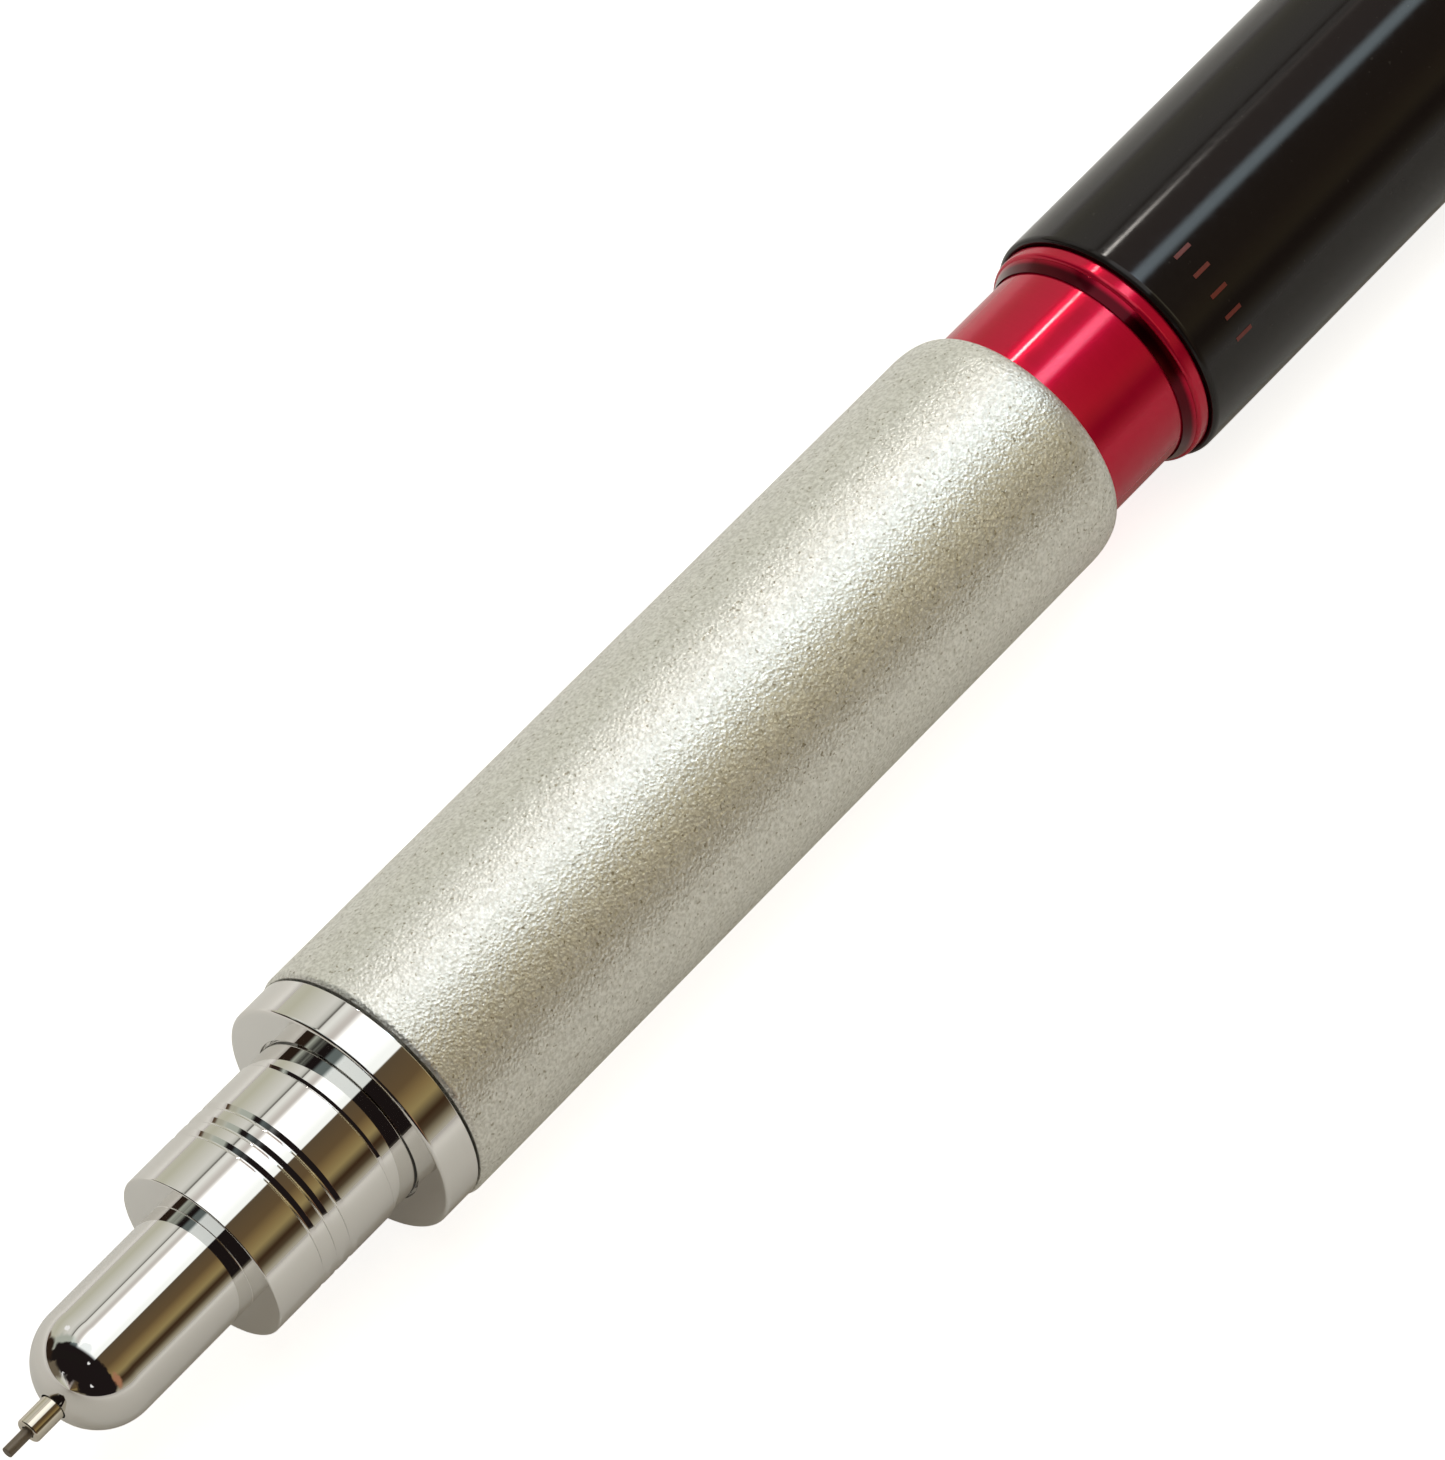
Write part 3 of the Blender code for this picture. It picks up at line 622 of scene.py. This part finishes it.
def band():
    """The clip's band with its slotted lug, joined as one piece."""
    bore = 4.50
    lug_heights, lug_half, lug_chamfer = (4.9, 7.30), 2.10, 0.60
    slot_heights, slot_half = (6.08, 7.10), 1.62
    line = [(BAND_FRONT, bore), (BAND_FRONT, BAND_R, 0.15), (BAND_BACK, BAND_R, 0.15)]
    line += [(BAND_BACK, bore), (BAND_FRONT, bore)]
    ring = lathe("clip_band_turning", rounded(line)[:-1])
    lug = prism("lug", lug_heights, lug_half, (BAND_FRONT + 0.1, BAND_BACK - 0.1), lug_chamfer)
    soften(lug, 0.09, 3)
    slot = prism("slot", slot_heights, slot_half, (BAND_FRONT - 1.0, BAND_BACK - 0.4), 0.0)
    join(ring, lug, "UNION")
    join(ring, slot, "DIFFERENCE")
    ring.data.shade_smooth()
    ring.data.set_sharp_from_angle(angle=math.radians(32))
    return fit(ring, "barrel", CHROME, ["clip_band"])


def prism(name, heights, half_width, places, chamfer):
    """A block standing out from the axis, its outer edges chamfered, in the clip's own directions."""
    low, high = heights
    outline = [(low, -half_width), (high - chamfer, -half_width), (high, chamfer - half_width)]
    outline += [(high, half_width - chamfer), (high - chamfer, half_width), (low, half_width)]
    outline = list(dict.fromkeys(outline))
    form = bmesh.new()
    ends = []
    for along in places:
        ends.append([form.verts.new(clip_point(x, y, along)) for x, y in outline])
    form.faces.new(ends[0])
    form.faces.new(ends[1][::-1])
    near, far = ends
    for i in range(len(outline)):
        j = (i + 1) % len(outline)
        form.faces.new((near[j], near[i], far[i], far[j]))
    return add_object(name, mesh_from(form, name))


def clip_point(out, side, along):
    return POINT + (OUT * out + SIDE * side + ALONG * along) * MM


def soften(obj, width, segments):
    edge = obj.modifiers.new("Edge", "BEVEL")
    edge.width = width * MM
    edge.segments = segments
    edge.limit_method = "ANGLE"
    edge.angle_limit = math.radians(25)
    apply_modifiers(obj)


def join(obj, other, operation):
    change = obj.modifiers.new(operation, "BOOLEAN")
    change.operation = operation
    change.solver = "EXACT"
    change.object = other
    apply_modifiers(obj)
    bpy.data.objects.remove(other, do_unlink=True)


def apply_modifiers(obj):
    bpy.context.view_layer.update()
    graph = bpy.context.evaluated_depsgraph_get()
    mesh = bpy.data.meshes.new_from_object(obj.evaluated_get(graph))
    obj.modifiers.clear()
    obj.data = mesh


def smooth_line(points, per_span):
    """Points on a Catmull-Rom curve through the given points."""
    points = [Vector(point) for point in points]
    ends = [points[0]] + points + [points[-1]]
    line = []
    for a, b, c, d in zip(ends, ends[1:], ends[2:], ends[3:]):
        slope = (c - a) / 2
        bend = a - 2.5 * b + 2 * c - d / 2
        twist = (3 * b - a - 3 * c + d) / 2
        for i in range(per_span):
            t = i / per_span
            line.append(b + t * (slope + t * (bend + t * twist)))
    line.append(points[-1])
    return line


# The middle of the clip's strip from its root to its tip, as place and height above the axis
CLIP_LINE = (
    (123.5, 6.60),
    (121.2, 6.60),
    (119.2, 6.98),
    (116.0, 7.16),
    (108.0, 6.98),
    (92.6, 6.18),
    (89.8, 5.96),
    (88.2, 6.02),
    (86.6, 6.52),
    (85.4, 7.02),
)


def clip():
    """The sprung strip, lofted along its bent line with rounded edges and a rounded front end."""
    half_thick, half_wide, edge = 0.31, 1.5, 0.14
    end_half = 0.25
    line = smooth_line(CLIP_LINE, 8)
    form = bmesh.new()
    rings = []
    reach = [0.0]
    for a, b in zip(line, line[1:]):
        reach.append(reach[-1] + (b - a).length)
    for i, point in enumerate(line):
        ahead = line[min(i + 1, len(line) - 1)]
        behind = line[max(i - 1, 0)]
        run = (ahead - behind).normalized()
        normal = Vector((run.y, -run.x))
        left = reach[-1] - reach[i]
        wide = half_wide
        if left < half_wide:
            share = math.sqrt(max(0.0, 1 - (1 - left / half_wide) ** 2))
            wide = end_half + (half_wide - end_half) * share
        section = strip_section(half_thick, wide, min(edge, wide * 0.5))
        ring = []
        for across, deep in section:
            spot = point + normal * deep
            ring.append(form.verts.new(clip_point(spot.y, across, spot.x)))
        rings.append(ring)
    for near, far in zip(rings, rings[1:]):
        bridge(form, near, far)
    form.faces.new(rings[0][::-1])
    form.faces.new(rings[-1])
    mesh = mesh_from(form, "clip_strip")
    mesh.shade_smooth()
    mesh.set_sharp_from_angle(angle=math.radians(40))
    return fit(add_object("clip_strip", mesh), "clip", CHROME, ["clip_arm"])


def strip_section(half_thick, half_wide, edge):
    """A rounded rectangle, as (across, deep) points."""
    points = []
    for corner, start in (((1, 1), 0), ((-1, 1), 90), ((-1, -1), 180), ((1, -1), 270)):
        centre = Vector((corner[0] * (half_wide - edge), corner[1] * (half_thick - edge)))
        for step in range(5):
            angle = math.radians(start + 22.5 * step)
            points.append(tuple(centre + Vector((math.cos(angle), math.sin(angle))) * edge))
    return points


def ferrule():
    """The tail: a tang inside the barrel, and a sleeve behind that curves in to the button."""
    front = BAND_BACK + 0.1
    tang, outside, inner, narrow = 4.40, 5.40, 3.40, 2.0
    step = 124.9
    groove, groove_r = 126.0, outside - 0.10
    line = [(TANG_FRONT, narrow), (TANG_FRONT, tang), (front, tang, 0.02), (front, outside, 0.18)]
    line += [(groove, outside, 0.03), (groove + 0.06, groove_r, 0.03)]
    line += [(groove + 0.24, groove_r, 0.03), (groove + 0.30, outside, 0.03)]
    line += [(127.6, outside, 4.0), (131.0, 4.70, 6.0)]
    line += [(FERRULE_BACK, 3.90, 0.12), (FERRULE_BACK, inner, 0.05)]
    line += [(step, inner), (step, narrow), (TANG_FRONT, narrow)]
    obj = lathe("ferrule_turning", rounded(line)[:-1])
    return fit(obj, "barrel", CHROME, ["rear_ferrule"])


def button():
    """The cap: a waist ring and a domed, softly rounded end."""
    bore = 2.70
    bottom = BUTTON_BACK - 1.6
    waist, waist_r = 135.95, BUTTON_R - 0.18
    line = [(bottom, 0.0), (bottom, bore), (BUTTON_FRONT, bore), (BUTTON_FRONT, BUTTON_R, 0.10)]
    line += [(waist - 0.30, BUTTON_R, 0.04), (waist - 0.20, waist_r, 0.05)]
    line += [(waist + 0.20, waist_r, 0.05), (waist + 0.30, BUTTON_R, 0.04)]
    line += [(BUTTON_BACK, BUTTON_R, 0.8), (BUTTON_BACK, 0.0)]
    obj = lathe("button_turning", rounded(line)[1:-1], closed=False)
    return fit(obj, "button", CHROME, ["push_button"])


def eraser_parts():
    """The eraser in its thin cup, which show when the button is pulled off."""
    lip = 0.06
    outside, inside, hole = 2.08, 1.90, 1.45
    base = HOLDER_FRONT + 0.8
    cup = [(HOLDER_FRONT, hole), (HOLDER_FRONT, outside, 0.1), (HOLDER_BACK, outside, lip)]
    cup += [(HOLDER_BACK, inside, lip), (base, inside), (base, hole)]
    cup.append(cup[0])
    holder = lathe("eraser_cup", rounded(cup)[:-1], FINE_FACETS)
    fit(holder, "plunger", STEEL, ["eraser_holder"])
    stick_r = 1.80
    stick = [(ERASER_FRONT, 0.0), (ERASER_FRONT, stick_r, 0.1), (ERASER_BACK, stick_r, 0.45)]
    stick.append((ERASER_BACK, 0.0))
    rubber = lathe("eraser_stick", rounded(stick)[1:-1], FINE_FACETS, closed=False)
    fit(rubber, "plunger", ERASER, ["eraser"])


def magazine():
    """The lead tube, with the eraser's seat behind."""
    front, back = node_ends("lead_tube")
    bore, outside = 1.30, 1.75
    seat_bore, seat_r = 2.15, 2.60
    line = [(front, bore), (front, outside), (128.9, outside, 0.5), (129.6, seat_r, 0.2)]
    line += [(back, seat_r, 0.08), (back, seat_bore), (130.4, seat_bore, 0.2)]
    line += [(129.7, bore, 0.5), (front, bore)]
    obj = lathe("lead_tube_moulding", rounded(line)[:-1], FINE_FACETS)
    return fit(obj, "plunger", CLEAR, ["lead_tube"])


# Each spring's joint, coil radius, wire radius and turns
SPRINGS = {
    "shift_spring": ("shift_slide", 3.72, 0.28, 5),
    "chuck_spring": ("button_press", 1.36, 0.16, 6),
}


def spring(name, joint_name, radius, wire, turns):
    """A coil spring over the length of its CAD node, carried by the barrel."""
    front, back = node_ends(name)
    steps = turns * 36
    sides = 10
    form = bmesh.new()
    rings = []
    for i in range(steps + 1):
        angle = 2 * math.pi * turns * i / steps
        spoke = Vector((0, math.cos(angle), math.sin(angle)))
        along = front + wire + (back - front - 2 * wire) * i / steps
        middle = ALONG * along + spoke * radius
        ring = []
        for side in range(sides):
            tilt = 2 * math.pi * side / sides
            rim = (spoke * math.cos(tilt) + ALONG * math.sin(tilt)) * wire
            ring.append(form.verts.new(POINT + (middle + rim) * MM))
        rings.append(ring)
    for near, far in zip(rings, rings[1:]):
        bridge(form, near, far)
    form.faces.new(rings[0][::-1])
    form.faces.new(rings[-1])
    mesh = mesh_from(form, name + "_coil")
    mesh.shade_smooth()
    mesh.set_sharp_from_angle(angle=math.radians(60))
    obj = fit(add_object(name + "_coil", mesh), "barrel", SPRING, [name])
    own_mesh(obj)
    return obj


CARRIED_OVER = {
    "grip_core": BRASS,
    "pipe_holder": BRASS,
    "chuck": BRASS,
    "clutch_ring": BRASS,
    "chuck_connector": BRASS,
    "lead_retainer": RUBBER,
    "mechanism_case": NYLON,
    "shift_guide": STEEL,
    "lock_ring": STEEL,
    "lock_pin": STEEL,
    "spare_lead_1": GRAPHITE,
    "spare_lead_2": GRAPHITE,
}


def dress_carried_over():
    """The inner CAD pieces keep their shapes and get better materials."""
    for name, material in CARRIED_OVER.items():
        obj = frame["nodes"][name]
        obj.data.materials.clear()
        obj.data.materials.append(material)


# Studio

# Light arriving from each direction round the pencil's axis: degrees from straight up, towards the far
# side, and the light's colour. A soft tent on the far side, with one thin dark seam, and a brown board with a
# dark foot on the near side.
TENT = (
    (-95, (0.64, 0.62, 0.53)),
    (-84, (0.28, 0.24, 0.16)),
    (-78, (0.08, 0.055, 0.030)),
    (-71, (0.045, 0.022, 0.010)),
    (-66, (0.16, 0.12, 0.06)),
    (-60, (0.33, 0.25, 0.105)),
    (-50, (0.25, 0.17, 0.07)),
    (-40, (0.14, 0.09, 0.042)),
    (-20, (0.115, 0.080, 0.045)),
    (-11, (0.13, 0.10, 0.07)),
    (-4, (0.30, 0.27, 0.25)),
    (9, (0.50, 0.42, 0.40)),
    (30, (0.50, 0.42, 0.38)),
    (38, (0.80, 0.77, 0.72)),
    (41.2, (0.80, 0.79, 0.74)),
    (41.5, (0.08, 0.07, 0.06)),
    (43.4, (0.08, 0.07, 0.06)),
    (43.7, (0.58, 0.58, 0.53)),
    (50, (0.76, 0.75, 0.70)),
    (60, (0.68, 0.67, 0.60)),
    (78, (0.55, 0.54, 0.43)),
    (92, (0.60, 0.59, 0.49)),
    (110, (0.75, 0.74, 0.68)),
    (135, (0.95, 0.95, 0.92)),
)

# Soft-edged shades and glints ahead of the pencil, which only its dome and its front faces reflect: the
# middle and half-size, each as (degrees round the pencil, lean along it), the edge, the power and the colour.
SHADES = (
    ((52, -0.34), (25, 0.22), 0.30, 2.0, (0.46, 0.49, 0.43)),
    ((82, -0.74), (30, 0.20), 0.25, 2.0, (0.16, 0.13, 0.09)),
    ((-18, -0.63), (84, 0.34), 0.07, 4.0, (0.014, 0.010, 0.010)),
    ((10, -0.24), (13, 0.15), 0.20, 2.0, (0.030, 0.022, 0.018)),
    ((44, -0.60), (44, 0.10), 0.15, 3.0, (0.014, 0.011, 0.010)),
    ((84, -0.42), (13, 0.22), 0.25, 2.0, (0.030, 0.018, 0.012)),
    ((92, -0.17), (7, 0.10), 0.35, 2.0, (0.105, 0.066, 0.042)),
    ((-72, -0.22), (14, 0.10), 0.45, 2.0, (0.42, 0.20, 0.11)),
    ((60, 0.01), (5, 0.06), 0.25, 2.0, (1.0, 1.0, 1.0)),
    ((52, -0.90), (10, 0.012), 0.40, 2.0, (0.8, 0.8, 0.8)),
    ((-57, -0.78), (5, 0.03), 0.40, 2.0, (1.0, 1.0, 1.0)),
    ((-12, -0.52), (3.5, 0.03), 0.30, 2.0, (1.0, 1.0, 1.0)),
)


def turn_of(tree, parts):
    """Degrees round the pencil from straight up, towards the far side, of a split-up direction or place."""
    turn = calc(tree, "ARCTAN2", parts.outputs["Y"], parts.outputs["Z"])
    return calc(tree, "MULTIPLY", turn, 180 / math.pi)


def patch(tree, turn, lean, middle, size, edge, power=2.0):
    """1 inside a soft-edged oval, or a rounded box with a higher power, and 0 outside.

    turn and lean are a direction's angle round the pencil and its part along the pencil.
    """
    total = None
    for value, centre, half in zip((turn, lean), middle, size):
        part = calc(tree, "DIVIDE", calc(tree, "SUBTRACT", value, centre), half)
        part = calc(tree, "POWER", calc(tree, "ABSOLUTE", part), power)
        total = part if total is None else calc(tree, "ADD", total, part)
    distance = calc(tree, "POWER", total, 1 / power)
    return remap(tree, distance, 1 - edge, 1 + edge, 1.0, 0.0, smooth=True)


def studio_light():
    """A world lit by direction. The camera sees it as plain white."""
    world = bpy.data.worlds.new("studio")
    bpy.context.scene.world = world
    world.use_nodes = True
    tree = world.node_tree
    tree.nodes.clear()
    ragged_lean, ragged_turn = 0.22, 22.0
    direction = add(tree, "ShaderNodeTexCoord", {}).outputs["Generated"]
    parts = add(tree, "ShaderNodeSeparateXYZ", {"Vector": direction})
    turn = turn_of(tree, parts)
    lean = parts.outputs["X"]
    ramp = tree.nodes.new("ShaderNodeValToRGB")
    tree.links.new(remap(tree, turn, -180, 180, 0.0, 1.0), ramp.inputs["Fac"])
    stops = ramp.color_ramp.elements
    while len(stops) > 1:
        stops.remove(stops[-1])
    for i, (angle, colour) in enumerate(TENT):
        place = (angle + 180) / 360
        stop = stops[0] if i == 0 else stops.new(place)
        stop.position = place
        stop.color = (*colour, 1)
    light = ramp.outputs["Color"]
    for middle, size, edge, power, colour in SHADES:
        ragged = calc(tree, "SUBTRACT", noise(tree, direction, 4.0, 4.0), 0.5)
        near_lean = calc(tree, "ADD", lean, calc(tree, "MULTIPLY", ragged, ragged_lean))
        near_turn = calc(tree, "ADD", turn, calc(tree, "MULTIPLY", ragged, ragged_turn))
        shape = patch(tree, near_turn, near_lean, middle, size, edge, power)
        light = blend_colour(tree, shape, light, (*colour, 1))
    lit = add(tree, "ShaderNodeBackground", {"Color": light, "Strength": 1.0})
    plain = add(tree, "ShaderNodeBackground", {"Color": (1, 1, 1, 1), "Strength": 1.0})
    seen = add(tree, "ShaderNodeLightPath", {}).outputs["Is Camera Ray"]
    mix = add(tree, "ShaderNodeMixShader", {0: seen, 1: lit.outputs[0], 2: plain.outputs[0]})
    add(tree, "ShaderNodeOutputWorld", {"Surface": mix.outputs[0]})


CARD_DISTANCE = 150.0

# Each light card's ends round the pencil and along it, its colour, and how far its light fades in from each
# end: a soft box and its dimmer side over the nose and grip, a warm fill for the grip, a cool strip over the
# barrel with a brighter end over the crimson sleeve, and a small lamp over the barrel's mouth with a faint
# tail along the barrel.
CARDS = {
    "soft_box": ((-18.0, 27.0), (-60.0, 127.0), (1.04, 1.10, 1.11), (1.5, 7.0), (20.0, 4.0)),
    "soft_side": ((18.0, 41.0), (-60.0, 127.0), (0.16, 0.20, 0.20), (8.0, 6.0), (20.0, 4.0)),
    "grip_fill": ((-62.0, -4.0), (82.0, 140.0), (1.05, 0.99, 0.64), (18.0, 16.0), (12.0, 12.0)),
    "strip_light": ((-8.2, 8.2), (112.0, 340.0), (3.4, 4.3, 4.7), (6.5, 6.5), (16.0, 60.0)),
    "strip_end": ((-8.2, 8.2), (122.0, 144.0), (3.2, 3.5, 5.4), (4.0, 4.0), (8.0, 4.0)),
    "lamp": ((31.5, 35.1), (126.5, 154.0), (46.0, 44.0, 41.0), (1.0, 1.0), (3.0, 13.0)),
    "lamp_tail": ((31.5, 35.1), (140.0, 300.0), (0.35, 0.28, 0.25), (1.0, 1.0), (10.0, 120.0)),
}


def bare_material(name):
    """A material with no nodes yet, and its tree."""
    material = bpy.data.materials.new(name)
    material.use_nodes = True
    material.node_tree.nodes.clear()
    return material, material.node_tree


def light_card(name, turns, places, colour, fade_turn, fade_place):
    """A curved, see-through light card round the pencil, seen only in reflections and as light.

    turns are degrees from straight up, places are along the pencil, and its light fades out at its edges.
    """
    steps = 24
    form = bmesh.new()
    rows = []
    for i in range(steps + 1):
        angle = math.radians(turns[0] + (turns[1] - turns[0]) * i / steps)
        spoke = Vector((0, math.sin(angle), math.cos(angle))) * CARD_DISTANCE
        rows.append([form.verts.new((spoke + ALONG * place) * MM) for place in places])
    for near, far in zip(rows, rows[1:]):
        form.faces.new((near[0], near[1], far[1], far[0]))
    mesh = bpy.data.meshes.new(name)
    form.to_mesh(mesh)
    form.free()
    card = add_object(name, mesh)
    card.location = POINT
    material, tree = bare_material(name)
    spot = add(tree, "ShaderNodeTexCoord", {}).outputs["Object"]
    parts = add(tree, "ShaderNodeSeparateXYZ", {"Vector": spot})
    turn = turn_of(tree, parts)
    place = calc(tree, "DIVIDE", parts.outputs["X"], MM)
    strength = None
    for value, ends, fades in ((turn, turns, fade_turn), (place, places, fade_place)):
        for low, high in ((ends[0], ends[0] + fades[0]), (ends[1], ends[1] - fades[1])):
            part = remap(tree, value, low, high, 0.0, 1.0, smooth=True)
            strength = part if strength is None else calc(tree, "MULTIPLY", strength, part)
    glow = add(tree, "ShaderNodeEmission", {"Color": (*colour, 1), "Strength": strength})
    clear = add(tree, "ShaderNodeBsdfTransparent", {})
    both = add(tree, "ShaderNodeAddShader", {0: glow.outputs[0], 1: clear.outputs[0]})
    add(tree, "ShaderNodeOutputMaterial", {"Surface": both.outputs[0]})
    card.data.materials.append(material)
    card.visible_camera = False
    card.visible_shadow = False
    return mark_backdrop(card)


def floor():
    """A pale floor, lifted to white for the camera, so only the pencil's soft shadow shows on it.

    In reflections its glow is dimmer beside the pencil, a painted shadow, and a little lighter on the far
    side, painted light.
    """
    size = 4.0
    seen_glow = 0.84
    # The glow that only reflections see: painted shadow dims it near the pencil, and painted light lifts its
    # far side.
    near, near_glow = 5, 0.07
    far, far_glow = 70, 0.28
    far_side_glow = 0.10
    mesh = bpy.data.meshes.new("floor")
    form = bmesh.new()
    bmesh.ops.create_grid(form, x_segments=1, y_segments=1, size=size)
    form.to_mesh(mesh)
    form.free()
    obj = add_object("floor", mesh)
    material, tree = bare_material("floor_paper")
    matt = add(tree, "ShaderNodeBsdfDiffuse", {"Color": (0.81, 0.78, 0.72, 1)})
    seen = add(tree, "ShaderNodeLightPath", {}).outputs["Is Camera Ray"]
    spot = add(tree, "ShaderNodeTexCoord", {}).outputs["Object"]
    across = add(tree, "ShaderNodeSeparateXYZ", {"Vector": spot}).outputs["Y"]
    distance = calc(tree, "ABSOLUTE", across)
    # Painted shadow beside the pencil, and painted light on its far side.
    unseen = remap(tree, distance, near * MM, far * MM, near_glow, far_glow, smooth=True)
    far_side = remap(tree, across, 1 * MM, 12 * MM, 0.0, far_side_glow, smooth=True)
    unseen = calc(tree, "ADD", unseen, far_side)
    extra = calc(tree, "MULTIPLY", seen, calc(tree, "SUBTRACT", seen_glow, unseen))
    strength = calc(tree, "ADD", unseen, extra)
    glow = add(tree, "ShaderNodeEmission", {"Color": (1, 1, 1, 1), "Strength": strength})
    both = add(tree, "ShaderNodeAddShader", {0: matt.outputs[0], 1: glow.outputs[0]})
    add(tree, "ShaderNodeOutputMaterial", {"Surface": both.outputs[0]})
    obj.data.materials.append(material)
    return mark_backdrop(obj)


def camera():
    """A long lens above the near side, looking back along the pencil past its nose."""
    data = bpy.data.cameras.new("camera")
    data.sensor_fit = "AUTO"
    data.sensor_width = 36.0
    data.lens = 214.63
    data.clip_start = 0.01
    data.clip_end = 20.0
    obj = add_object("camera", data)
    # The world's axes in the camera's own directions: right, up and back.
    tip, swing = 0.441830, 0.787569
    flat = math.cos(tip)
    x_axis = Vector((flat * math.cos(swing), flat * math.sin(swing), -math.sin(tip)))
    z_axis = Vector((0, -x_axis.z, x_axis.y)).normalized()
    y_axis = z_axis.cross(x_axis)
    rotation = Matrix((x_axis, y_axis, z_axis))
    # A place on the pencil's axis, and where it is in the camera's own directions.
    aim = POINT + ALONG * 39.1 * MM
    aim_seen = Vector((-0.5686, -0.7253, -326.92)) * MM
    obj.matrix_world = Matrix.Translation(aim - rotation @ aim_seen) @ rotation.to_4x4()
    bpy.context.scene.camera = obj
    return obj


camera()
nose()
collar()
grip()
red_sleeve()
red_mouth()
black_barrel()
barrel_ticks()
pipe()
lead_in_use()
band()
clip()
ferrule()
button()
eraser_parts()
magazine()
for spring_name, spring_facts in SPRINGS.items():
    spring(spring_name, *spring_facts)
dress_carried_over()
studio_light()
for card_name, card_facts in CARDS.items():
    light_card(card_name, *card_facts)
floor()
bpy.context.scene.view_settings.view_transform = "Standard"

bpy.context.view_layer.update()
